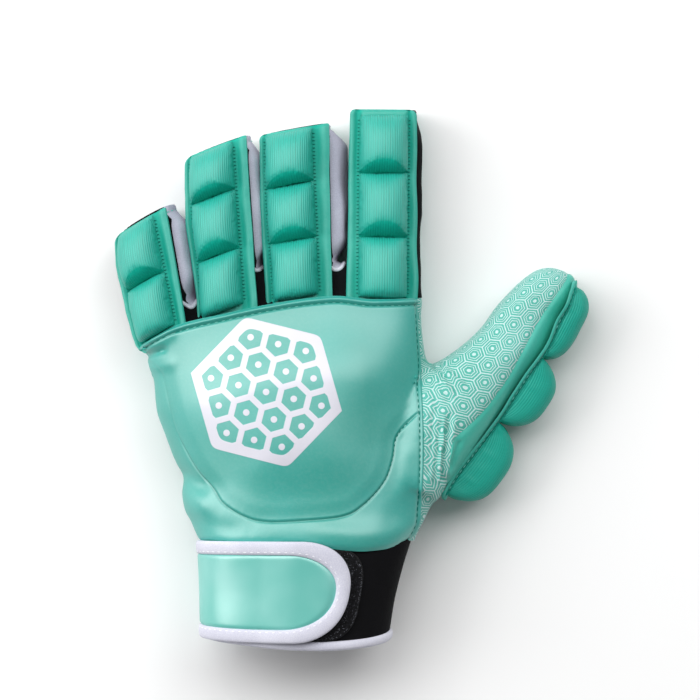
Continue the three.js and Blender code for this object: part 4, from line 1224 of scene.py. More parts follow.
def build_body():
    v, f = VB.copy(), FB
    n = vertex_normals(v, f)
    x, y, z = v.T
    hem, fn, ft, which, tip = body_fields(v)
    # side cloth stands out on the thumb's side of every finger
    for i, g in enumerate(FINGER):
        w = smooth((ft - 2.5) / 6.5) * smooth((10.5 - fn) / 4.5) * smooth((y - g.root - 0.5) / 9) * smooth((tip - 0.6) / 9)
        w = np.where(which == i, w, 0) * (1 + 0.14 * hash_noise(np.stack([y / 12, z / 9, x * 0 + i], 1), 17))
        v = v + g.across * ((g.slim + (g.bulge - g.slim) * smooth((y - g.root) / (g.end - g.root))) * w)[:, None]
    x, y, z = v.T
    hem, fn, ft, which, tip = body_fields(v)
    n = vertex_normals(v, f)
    thumb_side = x - (30.4 + (28.0 - 30.4) * np.clip((8 - y) / 58, 0, 1))
    # print wrinkles at the root of the thumb, loose cloth of the side strips
    fold = 0
    for x0, y0, x1, y1, w, amp in (
            (35.5, -13.0, 33.0, -37.0, 0.9, -1.5), (37.5, -14.0, 35.0, -35.0, 1.1, 0.9), (32.5, -15.0, 30.5, -38.0, 0.9, -1.2),
            (34.0, -14.0, 31.8, -37.0, 0.8, 0.8), (30.0, -12.0, 28.5, -34.0, 1.0, -0.8), (39.5, -22.0, 36.0, -32.0, 0.9, -0.9),
            (29.0, 6.0, 36.0, -8.0, 1.0, -0.9), (31.5, 6.0, 39.0, -5.0, 1.0, -0.8), (34.5, 6.0, 43.0, -1.5, 1.1, -0.7),
            (30.2, 6.0, 37.5, -6.5, 0.8, 0.6), (33.0, 6.0, 41.0, -3.0, 0.8, 0.6), (28.0, 2.0, 32.0, -11.0, 1.0, -0.8),
            (50.0, 2.0, 60.0, 12.0, 3.0, 0.3), (44.0, 4.0, 52.0, 16.0, 3.0, -0.35), (58.0, 22.0, 68.0, 33.0, 3.2, 0.35)):
        fold = fold + crease(v, (x0, y0), (x1, y1), w, amp)
    fold *= smooth((z - 12) / 8)
    side = smooth((fn + 5) / 3) * smooth((7 - fn) / 3) * smooth((y - hem - 6) / 10) * smooth((np.abs(ft) - 5) / 4)
    wave = hash_noise(np.stack([x / 30, y / 9.0, z / 14], 1), 11) * 0.6 + hash_noise(np.stack([x / 20, y / 4.5, z / 9], 1), 12) * 0.2
    v = v + n * (fold + side * wave + hash_noise(v / 12.0, 21) * 0.22 * smooth((z - 2) / 4))[:, None]
    v[:, 2] = np.maximum(v[:, 2], 0.02)
    n = vertex_normals(v, f)
    x, y, z = v.T
    # palm sheet field: below the side strips at the fingers, below the back's seam at the hand
    at_fingers = smooth((y - hem + 4) / 8)
    front = (1 - at_fingers) * (seam_z(x) + 0.4 - z) + at_fingers * (-3.4 - fn)
    right = np.minimum(hem - y + 0.2, x - seam_x(y) + 1.6)
    palm = np.maximum(front, right)
    # which gap between the fingers a point belongs to
    gap = np.full(len(v), -1)
    for k in range(3):
        a, b = axis_x(k, y), axis_x(k + 1, y)
        gap = np.where((x > a) & (x <= b), k, gap)
    edge = [np.interp(x, np.array(w)[:, 0], np.array(w)[:, 1]) for w in WEBS] + [np.full(len(v), 1e3)]
    crotch = y - np.choose(np.where(gap < 0, 3, gap), edge)
    inner = np.minimum(x - axis_x(0, y), axis_x(3, y) - x)   # positive between the outer finger axes
    half = np.array([g.strip for g in FINGER])[which]
    white = np.maximum(5.4 - fn, np.abs(ft) - half + 0.1)
    strips = np.minimum(np.minimum(white, inner), crotch)     # side strips, of what the palm leaves
    gusset = -polyline_distance(x, y, smooth_line(GUSSET, 140))
    # turned hem at the open fingertips
    v = v + n * (0.30 * np.exp(-((tip - 1.1) / 0.7) ** 2) - 0.35 * np.exp(-((tip - 2.3) / 0.5) ** 2) - 0.4 * np.exp(-((tip - 0.0) / 0.4) ** 2))[:, None]
    extra = np.column_stack([n, palm, strips, thumb_side, gusset, fn, ft, gap, x, y, z, y + 57.9])
    open_ends = np.minimum(tip, y + 57.9)
    v, f, extra = clip(v, f, np.column_stack([extra, open_ends]), open_ends)
    return v, f, extra[:, :-1]


BV, BF, BE = build_body()
C = dict(n=slice(0, 3), palm=3, strips=4, thumb=5, gusset=6, fn=7, ft=8, gap=9, x=10, y=11, z=12, wrist=13)


def unroll(v):
    """Map of the palm cloth in mm: walls at the sides unfold outwards."""
    x, y, z = v.T
    palm = np.tanh((x + 20.0) / 12.0)
    best, turn, first = np.full(len(x), 1e9), np.zeros(len(x)), np.full(len(x), 30.0)
    for g in FINGER:
        off = x - (g.bx + (g.tx - g.bx) * g.v_of(y))
        near = np.abs(off) < best
        best = np.where(near, np.abs(off), best)
        turn = np.where(near, np.tanh(off / 3.0), turn)
        first = np.where(near, 18.0 if g.name == "little" else 30.0, first)
    k = smooth((y - first) / 10)
    return np.stack([x + (palm + (turn - palm) * k) * z, y], 1)


def thumb_map(v):
    """Map of the thumb cloth in mm: around and along the thumb's middle line."""
    rows = thumb_row(np.linspace(0, 10, 200))
    mid = np.stack([(rows[:, 0] + rows[:, 2]) / 2, (rows[:, 1] + rows[:, 3]) / 2], 1)
    along = np.r_[0, np.cumsum(np.linalg.norm(np.diff(mid, axis=0), axis=1))]
    q = v[:, :2]
    # straight middle line, so that the map doesn't fold
    a, b = mid[20], mid[-20]
    d = (b - a) / np.linalg.norm(b - a)
    s = (q - a) @ d
    l = (q - a) @ np.array([-d[1], d[0]])
    if (np.array([1.0, -1.0]) @ np.array([-d[1], d[0]])) < 0:
        l = -l
    zc = 11.5
    z = v[:, 2] - zc
    up = np.tanh(z / 6.0)
    level = smooth((np.abs(l) - 11.0) / 7.0) * smooth((v[:, 1] + 37.0) / 8.0) * smooth((2.0 - v[:, 1]) / 8.0) * smooth(z / 3.0)
    z = z + (8.5 - z) * level
    far = np.maximum(np.abs(l) - 14.0, 0)
    ang = np.arctan2(z, -np.clip(l, -14, 14))
    r = np.hypot(z, np.clip(l, -14, 14))
    u = ang * (9.0 + 0.35 * r) + up * np.sign(l) * far
    # wall beside the heel, laid out to the right
    heel = smooth((-32.0 - v[:, 1]) / 8.0) * smooth((v[:, 2] - 1.0) / 2.0)
    drop = (20.0 - np.minimum(v[:, 2], 20.0)) * heel
    u = u + (18.8 + 1.15 * (l + drop * d[1]) - u) * heel
    return np.stack([u, s + drop * d[0]], 1)


def palm_map(v):
    """Map of the palm cloth; the part that shows beside the thumb runs on from the thumb's cloth."""
    x, y, z = v.T
    top = (x > 22) & (z > np.where(y < -40, 3.0, 12.5)) & (y < 7.5)
    return np.where(top[:, None], thumb_map(v), unroll(v))


def zone(fields, names, material, name, thick, uvmap=None, pinch=0.35, nodes=(), sheet=None, lift=0.0):
    """One cloth piece of the body: what all the (column, sign, offset) fields leave."""
    v, f, e = BV, BF, BE
    for col, sign, off in fields:
        v, f, e = clip(v, f, e, sign * e[:, C[col]] + off)
    v, f, e = biggest(v, f, e)
    n = e[:, :3] / np.linalg.norm(e[:, :3], axis=1)[:, None]
    edge = np.full(len(v), 1e3)
    for col, sign, off in fields:
        if col in names:
            edge = np.minimum(edge, sign * e[:, C[col]] + off)
    v = v + n * (lift - pinch * np.exp(-(np.maximum(edge, 0) / 0.8) ** 2))[:, None]
    v[:, 2] = np.maximum(v[:, 2], 0.02)
    vv, ff = thicken(v, f, n, thick)
    vv[:, 2] = np.maximum(vv[:, 2], 0.01)
    uv = None
    if uvmap is not None:
        u = uvmap(v)
        uv = np.vstack([u, u])
    # 1 on the reverse side of the cloth, 0 on its face
    inner = np.r_[np.zeros(len(v)), np.ones(len(v))]
    ob = put(name, vv, ff, material, sharp=55, uv=uv, painted_shade_or_reverse_side=inner)
    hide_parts(*nodes)
    return (v, f, n, e), ob


palm_sheet, _ = zone([("palm", 1, 0), ("thumb", -1, 0), ("wrist", 1, 0)], ("palm",), MATS["print"],
                     "palm_panel_cloth", 1.3, palm_map, nodes=("palm_panel",))
thumb_sheet, _ = zone([("palm", 1, 0), ("thumb", 1, 0), ("gusset", 1, 0), ("wrist", 1, 0)], ("gusset",), MATS["print"],
                      "thumb_front_cloth", 1.3, thumb_map, nodes=("thumb_front",))
gusset_sheet, _ = zone([("thumb", 1, 0), ("gusset", -1, 0), ("wrist", 1, 0)], ("gusset",), MATS["gusset"],
                       "thumb_gusset_cloth", 1.3, nodes=("thumb_gusset",))
strip_sheets = []
for k, c in enumerate(CROTCHES):
    v, f, e = BV, BF, BE
    lo, hi = axis_x(k, BV[:, 1]), axis_x(k + 1, BV[:, 1])
    sel = np.minimum(BV[:, 0] - lo, hi - BV[:, 0])
    BE2 = np.column_stack([BE, sel])
    v, f, e = clip(BV, BF, BE2, sel)
    v, f, e = clip(v, f, e, -e[:, C["palm"]])
    v, f, e = clip(v, f, e, e[:, C["strips"]])
    v, f, e = biggest(v, f, e)
    n = e[:, :3] / np.linalg.norm(e[:, :3], axis=1)[:, None]
    edge = np.minimum(-e[:, C["palm"]], e[:, C["strips"]])
    v = v - n * (0.3 * np.exp(-(np.maximum(edge, 0) / 0.8) ** 2))[:, None]
    vv, ff = thicken(v, f, n, 1.0)
    ob = put("fourchette_%s_cloth" % c["name"], vv, ff, MATS["side"], sharp=55)
    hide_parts("fourchette_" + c["name"])
    strip_sheets.append((v, f, n, e))
lining_fields = np.minimum(-BE[:, C["palm"]], -BE[:, C["strips"]])
outer = smooth((axis_x(0, BV[:, 1]) - 3 - BV[:, 0]) / 3)
BE3 = np.column_stack([BE, lining_fields, BV[:, 1] - hem_y(BV[:, 0]) + 7.0 - 8.0 * outer])
v, f, e = clip(BV, BF, BE3, lining_fields)
v, f, e = clip(v, f, e, e[:, -1])
v, f, e = biggest(v, f, e)
n = e[:, :3] / np.linalg.norm(e[:, :3], axis=1)[:, None]
vv, ff = thicken(v, f, n, 1.0)
ob = put("finger_lining_cloth", vv, ff, MATS["black"], sharp=55)
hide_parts("finger_lining")
lining_sheet = (v, f, n, e)

# white rolled hem along the edge of the side cloth between the fingers
tree = BVHTree.FromPolygons([tuple(q) for q in BV], [tuple(int(i) for i in t) for t in BF])
parts = []
for w in WEBS:
    line = smooth_line(w, 40)
    pts, nrm = [], []
    for x, y in line:
        hit = tree.ray_cast(Vector((x, y, 60)), Vector((0, 0, -1)))
        if hit[0] is not None:
            pts.append(tuple(hit[0]))
            nrm.append(tuple(hit[1]))
    pts, nrm = np.array(pts), np.array(nrm)
    nrm[nrm[:, 2] < 0] *= -1
    pts, nrm = relax(pts, 8), relax(nrm, 12)
    nrm /= np.linalg.norm(nrm, axis=1)[:, None]
    parts.append(sweep(pts + nrm * 0.15, nrm, circle(0.8, 10, 0.85)))
v, fl = merge(parts)
put("fourchette_hems", v, fl, MATS["white"])

# stitches of the hem at each open fingertip, over the sides and the palm's cloth
parts = []
for g in FINGER:
    t = np.linspace(math.radians(150), math.radians(390), 90)
    a, b = g.size(g.v_of(g.end))
    across = a * power(np.cos(t), 2 / ROUND)
    s = g.v_of(g.end) * g.length + g.skew * np.clip(across, -13, 13) + g.proud - 2.3
    c = g.centre(s / g.length)
    pos = c + g.across * across[:, None] + g.up * (b * power(np.sin(t), 2 / ROUND))[:, None]
    pts, nrm = [], []
    for q in pos:
        hit = tree.find_nearest(Vector(q))
        pts.append(tuple(hit[0]))
        nrm.append(tuple(hit[1]))
    pts, nrm = relax(np.array(pts), 2), relax(np.array(nrm), 4)
    nrm /= np.linalg.norm(nrm, axis=1)[:, None]
    k = pts[:, 2] > 0.9
    cut = np.flatnonzero(np.diff(k.astype(int)))
    for piece in np.split(np.arange(len(k)), cut + 1):
        if k[piece[0]] and len(piece) > 8:
            parts.append(stitches(pts[piece], nrm[piece], 1.6, 0.8, 0.20, 0.02))
v, fl = merge(parts)
put("fingertip_thread", v, fl, MATS["thread"])


# -------------------------------------------------------- finger strips
def belly(g, y):
    """How far a strip swells on the little finger's side."""
    return np.interp(y, [r[0] for r in g.belly], [r[1] for r in g.belly])


def strip_half(g, y, side):
    """Half width of a strip on one side, its corners at the fingertip rounded."""
    w = g.strip - g.taper * smooth((y - g.tuck) / (g.end - g.tuck)) + (belly(g, y) if side < 0 else 0)
    r = g.corner[1] if side > 0 else g.corner[0]
    e = np.clip(g.end - y, 0, r)
    return w - (r - np.sqrt(np.maximum(0, r * r - (r - e) ** 2)))


def lean(g, y):
    return g.shift + g.lean[1] + (g.lean[0] - g.lean[1]) * smooth((y - g.tuck) / (g.end - g.tuck))


def strip_sheet(g):
    """Padded base on one finger: a sewn channel along the pads, and a flange whose edge is turned up and rolled."""
    nu, nv = 64, 170
    u = np.linspace(-1, 1, nu)
    y = g.tuck + (g.end - g.tuck) * (1 - (1 - np.linspace(0, 1, nv)) ** 1.15)
    uu, yy = np.meshgrid(u, y, indexing="ij")
    seed = FINGER.index(g) + 3
    flat = [yy.ravel() / 12, np.sign(uu).ravel() * 2 + seed, uu.ravel() * 0]
    ripple = hash_noise(np.stack(flat, 1), seed).reshape(uu.shape)
    fine = hash_noise(np.stack([yy.ravel() / 3.1, np.sign(uu).ravel() * 5 + seed, uu.ravel() * 0], 1), seed + 40).reshape(uu.shape)
    half = np.where(uu > 0, strip_half(g, yy, 1), strip_half(g, yy, -1)) + 0.30 * ripple * smooth(np.abs(uu) * 2 - 1)
    t = g.shift + uu * half
    # the pad's edge from the strip's middle
    seam = np.where(uu > 0, g.pad + lean(g, yy) - g.shift, g.pad - lean(g, yy) + g.shift + 0.6 * np.maximum(0, belly(g, yy)))
    room = np.maximum(half - seam, 0.6)
    q = (np.abs(uu) * half - seam) / room                                               # 0 at the pad, 1 at the edge
    flange = smooth((q - 0.25) / 0.65)
    dip = 0.95 * np.exp(-((q - 0.24) / 0.32) ** 2)
    top = 2.1 - dip + flange * (0.35 * ripple + 0.10 * fine) - 0.45 * smooth((q - 0.66) / 0.34) ** 2
    e = g.end - yy
    top = top - 0.8 * np.exp(-(e / 0.7) ** 2) - dip * 0
    low = 0.30 + flange * (0.35 * ripple) + 0.25 * smooth((q - 0.86) / 0.14)
    a = g.on_strip(yy, t, top).reshape(-1, 3)
    b = g.on_strip(yy, t, np.minimum(low, top - 0.22)).reshape(-1, 3)
    n = nu * nv
    fa = grid_faces(nu, nv)
    idx = np.arange(n).reshape(nu, nv)
    rim = np.r_[idx[:-1, 0], idx[-1, :-1], idx[::-1, -1][:-1], idx[0, ::-1][:-1]]
    nxt = np.roll(rim, -1)
    quads = np.vstack([fa, fa[:, ::-1] + n, np.stack([nxt, rim, rim + n, nxt + n], 1)])
    # painted shade along the sewn channel beside the pad, a little uneven with the ripple
    painted_shade_or_reverse_side = np.clip(1.1 * np.exp(-((q - 0.20) / 0.36) ** 2) * (1 + 0.35 * ripple), 0, 1)
    return np.vstack([a, b]), quads, np.r_[painted_shade_or_reverse_side.ravel(), painted_shade_or_reverse_side.ravel()]


def fix_out(v, faces):
    """Turns a closed mesh's faces outwards."""
    tri = []
    for f in faces:
        tri.append(f[:, [0, 1, 2]])
        if f.shape[1] == 4:
            tri.append(f[:, [0, 2, 3]])
    t = np.vstack(tri)
    vol = np.einsum("ij,ij->i", v[t[:, 0]], np.cross(v[t[:, 1]], v[t[:, 2]])).sum()
    return [f[:, ::-1] for f in faces] if vol < 0 else faces


def break_line(s):
    """Where the foam of a pad breaks down towards the next pad: an arc across it."""
    return -0.48 - 0.44 * np.abs(s) ** 2.2


def pad_profile(s, q):
    """Height of a pad: q runs from the hand (-1) to the fingertip (1), and the hand's end falls steeply."""
    peak = -0.34
    u = np.where(q > peak, (q - peak) / (1 - peak), (peak - q) / (1 + peak))
    along = np.where(q > peak, 1 - 0.58 * u**2.2 - 0.42 * u**8, np.maximum(0, 1 - u**3.4) ** 0.5)
    across = np.maximum(0, 1 - np.abs(s) ** 3.0) ** 0.55
    edge = break_line(s)
    cut = np.clip((edge - q) / (1 + edge), 0, 1)
    return np.maximum(along, 0) * across * (1 - 0.62 * cut**1.1)


def root_profile(s, q):
    """The pad beside the back's hem: it stays high up to the seam."""
    peak = -0.34
    u = np.where(q > peak, (q - peak) / (1 - peak), (peak - q) / (1 + peak))
    along = np.where(q > peak, 1 - 0.46 * u**2.0 - 0.54 * u**9, 0.90 * np.maximum(0, 1 - u**6) ** 0.55 + 0.10 * (1 - u**2))
    across = np.maximum(0, 1 - np.abs(s) ** 3.0) ** 0.55
    return np.maximum(along, 0) * across


def thumb_profile(s, q):
    return np.maximum(0, 1 - np.abs(s) ** 3.0) ** 0.5 * np.maximum(0, 1 - np.abs(q) ** 2.9) ** 0.5


def pad_grid(point, rise, nu=38, nv=42, profile=pad_profile):
    """Crowned form of a pad before its knit is simulated, laid over a grid of (s, q) places."""
    su = np.sin(np.linspace(-1, 1, nu) * math.pi / 2)
    sv = np.sin(np.linspace(-1, 1, nv) * math.pi / 2)
    s, q = np.meshgrid(su, sv, indexing="ij")
    return point(s, q, rise * 0.94 * profile(s, q) + 0.02)


def simulate(grids):
    """Blows the pads' knit up a little over the foam: one cloth for all pads, sewn down at every rim."""
    k = 0.05
    vs, fs, pins, base = [], [], [], 0
    for g in grids:
        nu, nv = g.shape[:2]
        idx = np.arange(nu * nv).reshape(nu, nv)
        vs.append(g.reshape(-1, 3) * k)
        fs.append(grid_faces(nu, nv) + base)
        pins.append(np.r_[idx[0], idx[-1], idx[1:-1, 0], idx[1:-1, -1]] + base)
        base += nu * nv
    v, f = np.vstack(vs), np.vstack(fs)
    g0 = grids[0]
    out = np.cross(g0[1:, :-1] - g0[:-1, :-1], g0[:-1, 1:] - g0[:-1, :-1])[..., 2].sum()
    me = bpy.data.meshes.new("knit_sim")
    me.from_pydata(v.tolist(), [], (f if out > 0 else f[:, ::-1]).tolist())
    ob = bpy.data.objects.new("knit_sim", me)
    scene = bpy.context.scene
    scene.collection.objects.link(ob)
    grp = ob.vertex_groups.new(name="sewn")
    grp.add(np.concatenate(pins).tolist(), 1.0, "REPLACE")
    mod = ob.modifiers.new("knit", "CLOTH")
    st = mod.settings
    st.quality = 4
    st.mass = 0.3
    st.tension_stiffness = st.compression_stiffness = 14
    st.shear_stiffness = 6
    st.bending_stiffness = 0.35
    st.tension_damping = st.compression_damping = 12
    st.air_damping = 3
    st.vertex_group_mass = "sewn"
    st.use_pressure = True
    st.uniform_pressure_force = 5.0
    st.shrink_min = -0.035
    st.effector_weights.gravity = 0.0
    mod.collision_settings.use_collision = False
    mod.point_cache.frame_start = 1
    mod.point_cache.frame_end = 16
    for i in range(1, 17):
        scene.frame_set(i)
    ev = ob.evaluated_get(bpy.context.evaluated_depsgraph_get())
    em = ev.to_mesh()
    w = np.empty(len(em.vertices) * 3, np.float32)
    em.vertices.foreach_get("co", w)
    ev.to_mesh_clear()
    scene.frame_set(1)
    bpy.data.objects.remove(ob)
    bpy.data.meshes.remove(me)
    move = w.reshape(-1, 3).astype(float) / k - v / k
    far = np.linalg.norm(move, axis=1)
    print("knit moved mm: mean %.2f most %.2f" % (far.mean(), far.max()))
    cap = 1.3
    move *= (cap * np.tanh(far / cap) / (far + 1e-9))[:, None]
    res, base = [], 0
    for g in grids:
        n = g.shape[0] * g.shape[1]
        res.append(g + move[base:base + n].reshape(g.shape))
        base += n
    return res


def refine(g):
    """Catmull-Rom points between the points of a grid, both ways."""
    for axis in (0, 1):
        p = np.moveaxis(g, axis, 0)
        e = np.concatenate([2 * p[:1] - p[1:2], p, 2 * p[-1:] - p[-2:-1]])
        mid = (-e[:-3] + 9 * e[1:-2] + 9 * e[2:-1] - e[3:]) / 16
        out = np.empty((2 * len(p) - 1,) + p.shape[1:])
        out[0::2] = p
        out[1::2] = mid
        g = np.moveaxis(out, 0, axis)
    return g


def pad_mesh(grid, length, seed, down, side, kind, pitch=1.3):
    """Fine mesh of one pad with scallops along its two sewn sides, the ribs' map in mm, and its mask of painted shade.
    """
    p = refine(grid)
    nu, nv = p.shape[:2]
    i = np.abs(np.linspace(-1, 1, nu))[:, None]
    sgn = np.sign(np.linspace(-1, 1, nu))[:, None]
    run = np.r_[0, np.cumsum(np.linalg.norm(np.diff(p[0], axis=0), axis=1))][None]
    teeth = np.abs(np.sin(math.pi * run / pitch + seed)) ** 0.8
    near = np.exp(-((1 - i) / 0.045) ** 2) * smooth(run / 1.5) * smooth((run[:, -1:] - run) / 1.5)
    p = p + side * (sgn * near * (0.34 * teeth - 0.12))[..., None]
    puck = hash_noise(np.stack([np.broadcast_to(run / 1.9, (nu, nv)).ravel(), np.broadcast_to(sgn * 3 + seed, (nu, nv)).ravel(),
                                np.zeros(nu * nv)], 1), seed).reshape(nu, nv)
    nrm = np.cross(np.gradient(p, axis=0), np.gradient(p, axis=1))
    nrm /= np.linalg.norm(nrm, axis=2)[..., None] + 1e-12
    if (nrm * down).sum() > 0:
        nrm = -nrm
    band = np.exp(-((i - 0.80) / 0.10) ** 2) * np.ones((1, nv))
    band = np.maximum(band, np.exp(-((np.abs(np.linspace(-1, 1, nv)) - 0.84) / 0.08) ** 2)[None] * np.ones((nu, 1)))
    p = p + nrm * (0.16 * puck * band)[..., None]
    idx = np.arange(nu * nv).reshape(nu, nv)
    rim = np.r_[idx[:-1, 0], idx[-1, :-1], idx[::-1, -1][:-1], idx[0, ::-1][:-1]]
    flat = p.reshape(-1, 3)
    low = flat[rim] + down * 0.35
    m = len(rim)
    n = nu * nv
    nxt = np.roll(np.arange(m), -1)
    quads = np.vstack([grid_faces(nu, nv), np.stack([rim[nxt], rim, n + np.arange(m), n + nxt], 1)])
    tris = np.stack([np.full(m, n + m), n + nxt, n + np.arange(m)], 1)
    v = np.vstack([flat, low, low.mean(0)])
    du = np.linalg.norm(np.diff(p, axis=0), axis=2)
    arc = np.vstack([np.zeros((1, nv)), np.cumsum(du, 0)])
    arc = arc - arc[nu // 2][None]
    mid = nv // 2
    uu = 0.5 * arc + 0.5 * arc[:, mid:mid + 1]
    vv = np.linspace(-1, 1, nv)[None] * length / 2 * np.ones((nu, 1))
    uv = np.stack([uu + seed * 0.37, vv], -1).reshape(-1, 2)
    uv = np.vstack([uv, uv[rim], uv.mean(0)])
    s = np.sin(np.linspace(-1, 1, nu) * math.pi / 2)[:, None]
    q = np.sin(np.linspace(-1, 1, nv) * math.pi / 2)[None]
    # painted shade: on finger pads the lower end past the break line, the sewn sides and, more weakly, the lower half;
    # on the root pads the lower end and the sides; the thumb pads throughout, most at their ends
    if kind == "thumb":
        painted_shade_or_reverse_side = 0.62 + 0.3 * smooth((np.abs(q) - 0.80) / 0.2) + 0 * s
    elif kind == "root":
        painted_shade_or_reverse_side = smooth((-0.93 - q) / 0.06) + 0.40 * smooth((np.abs(s) - 0.93) / 0.07)
    else:
        edge = break_line(s)
        painted_shade_or_reverse_side = smooth((edge - q + 0.05) / 0.12) + 0.40 * smooth((np.abs(s) - 0.93) / 0.07)
        painted_shade_or_reverse_side = painted_shade_or_reverse_side + 0.30 * smooth((-0.15 - q) / 0.4) * (1 - s**2) ** 0.5
    painted_shade_or_reverse_side = np.clip(painted_shade_or_reverse_side * np.ones((nu, nv)), 0, 1).ravel()
    painted_shade_or_reverse_side = np.r_[painted_shade_or_reverse_side, painted_shade_or_reverse_side[rim], 1.0]
    return v, fix_out(v, [quads, tris]), uv, painted_shade_or_reverse_side


def ticks(path, up, across, pitch, length, radius, lift=0.0):
    """Short threads laid across a seam, one in each scallop."""
    total = line_length(path)
    count = max(2, int(total / pitch))
    s = np.r_[0, np.cumsum(np.linalg.norm(np.diff(path, axis=0), axis=1))]
    parts = []
    u = np.linspace(-1, 1, 5)
    ring = np.arange(6) / 6 * 2 * math.pi
    for c in (np.arange(count) + 0.5) * total / count:
        p0 = np.array([np.interp(c, s, path[:, k]) for k in range(3)])
        n = np.array([np.interp(c, s, up[:, k]) for k in range(3)])
        d = np.array([np.interp(c, s, across[:, k]) for k in range(3)])
        n /= np.linalg.norm(n)
        d /= np.linalg.norm(d)
        e = np.cross(n, d)
        p = p0 + d * (u * length / 2)[:, None] + n * (lift + 0.25 * length * (0.5 - u**2))[:, None]
        r = radius * np.sqrt(np.maximum(0.05, 1 - u**2 * 0.95))
        v = (p[:, None] + e * (np.cos(ring)[None] * r[:, None])[..., None] + n * (np.sin(ring)[None] * r[:, None])[..., None])
        f = grid_faces(5, 6)
        last = np.array([[i * 6 + 5, (i + 1) * 6 + 5, (i + 1) * 6, i * 6] for i in range(4)])
        caps = np.array([[0, 1, 2, 3], [0, 3, 4, 5], [29, 28, 27, 26], [29, 26, 25, 24]])
        parts.append((v.reshape(-1, 3), [np.vstack([f, last, caps])]))
    return merge(parts)


PADS = []          # name, grid, length, side direction, down direction
tooth_parts = []
for g in FINGER:
    v, quads, painted_shade_or_reverse_side = strip_sheet(g)
    ob = put(g.name + "_strip_cloth", v, fix_out(v, [quads])[0], MATS["flange"], sharp=60, painted_shade_or_reverse_side=painted_shade_or_reverse_side)
    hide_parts(g.name + "_strip")
    for i, (y0, y1) in enumerate(g.pads):
        ym, hl = (y0 + y1) / 2, (y0 - y1) / 2 + 0.42

        def point(s, q, lift, g=g, ym=ym, hl=hl):
            yy = ym + q * hl
            out = -0.6 * np.maximum(0, belly(g, yy)) * smooth(-s)
            return g.on_strip(yy, lean(g, yy) + s * g.pad + out, 1.9 + lift)
        last = i == len(g.pads) - 1
        PADS.append(("%s_pad_%d" % (g.name, i + 1), pad_grid(point, 8.0, profile=root_profile if last else pad_profile), 2 * hl, g.across, -g.up))
    for side in (-1, 1):
        y = np.linspace(g.pads[-1][1] + 0.5, g.pads[0][0] - 1.0, 140)
        tt = lean(g, y) + side * (g.pad + 0.42) - (0.6 * np.maximum(0, belly(g, y)) if side < 0 else 0)
        p = g.on_strip(y, tt, np.full_like(y, 1.45))
        one = np.ones((len(y), 1))
        tooth_parts.append(ticks(p, g.up * one, g.across * one, 1.3, 1.15, 0.17, 0.05))
v, fl = merge(tooth_parts)
put("pad_thread", v, fl, MATS["thread_dark"])


# --------------------------------------------------------- thumb strip
def thumb_side(v, z, lift):
    v, z, lift = np.broadcast_arrays(np.asarray(v, float), np.asarray(z, float), np.asarray(lift, float))
    r = thumb_row(v)
    a, b = thumb_row(np.clip(v - 0.35, 0, 10)), thumb_row(np.clip(v + 0.35, 0, 10))
    tx, ty = b[..., 2] - a[..., 2], b[..., 3] - a[..., 3]
    tl = np.hypot(tx, ty)
    nx, ny = -ty / tl, tx / tl
    s = np.sign(nx * (r[..., 2] - r[..., 0]) + ny * (r[..., 3] - r[..., 1]))
    return np.stack([r[..., 2] + nx * s * (lift + 0.4), r[..., 3] + ny * s * (lift + 0.4), z], -1)


ts = THUMB_STRIP


def thumb_top(v, room):
    """Upper edge of the thumb's strip, which comes down with the thumb at its tip."""
    return np.minimum(ts["high"], cubic(np.arange(len(THUMB)), THUMB[:, 5], v) + 1.6) - room


nu, nv = 40, 170
u = np.linspace(-1, 1, nu)
w = np.linspace(ts["a"], ts["b"], nv)
uu, ww = np.meshgrid(u, w, indexing="ij")
mid = thumb_side(w, np.full_like(w, 12.0), np.zeros_like(w))
run = np.r_[0, np.cumsum(np.linalg.norm(np.diff(mid, axis=0), axis=1))][None]
e = np.minimum(run, run[:, -1:] - run)
r = 3.0
corner = r - np.sqrt(np.maximum(0, r * r - np.clip(r - e, 0, r) ** 2))
low_z, high_z = ts["low"] + corner, thumb_top(ww, 0) - corner
zz = low_z + (high_z - low_z) * (uu + 1) / 2
side_wave = hash_noise(np.stack([ww.ravel() * 1.3, np.sign(uu).ravel() * 3, uu.ravel() * 0], 1), 31).reshape(uu.shape)
rim_ = smooth((np.abs(uu) - 0.72) / 0.28)
lean_in = -1.1 * smooth((zz - thumb_top(ww, 4.2)) / 4.0)
lip = 0.3 * side_wave * rim_ + 0.6 * smooth((ww - 9.0) / 0.85)
dip = 0.45 * np.exp(-((np.abs(uu) - 0.86) / 0.04) ** 2)
top = 1.25 - 0.6 * smooth((np.abs(uu) - 0.94) / 0.06) ** 2 - dip + lip + lean_in
low = 0.15 + lip * 0.9 + lean_in
a = thumb_side(ww, zz, top).reshape(-1, 3)
b = thumb_side(ww, zz, np.minimum(low, top - 0.3)).reshape(-1, 3)
n = nu * nv
fa = grid_faces(nu, nv)
idx = np.arange(n).reshape(nu, nv)
rim = np.r_[idx[:-1, 0], idx[-1, :-1], idx[::-1, -1][:-1], idx[0, ::-1][:-1]]
nxt = np.roll(rim, -1)
quads = np.vstack([fa, fa[:, ::-1] + n, np.stack([nxt, rim, rim + n, nxt + n], 1)])
v = np.vstack([a, b])
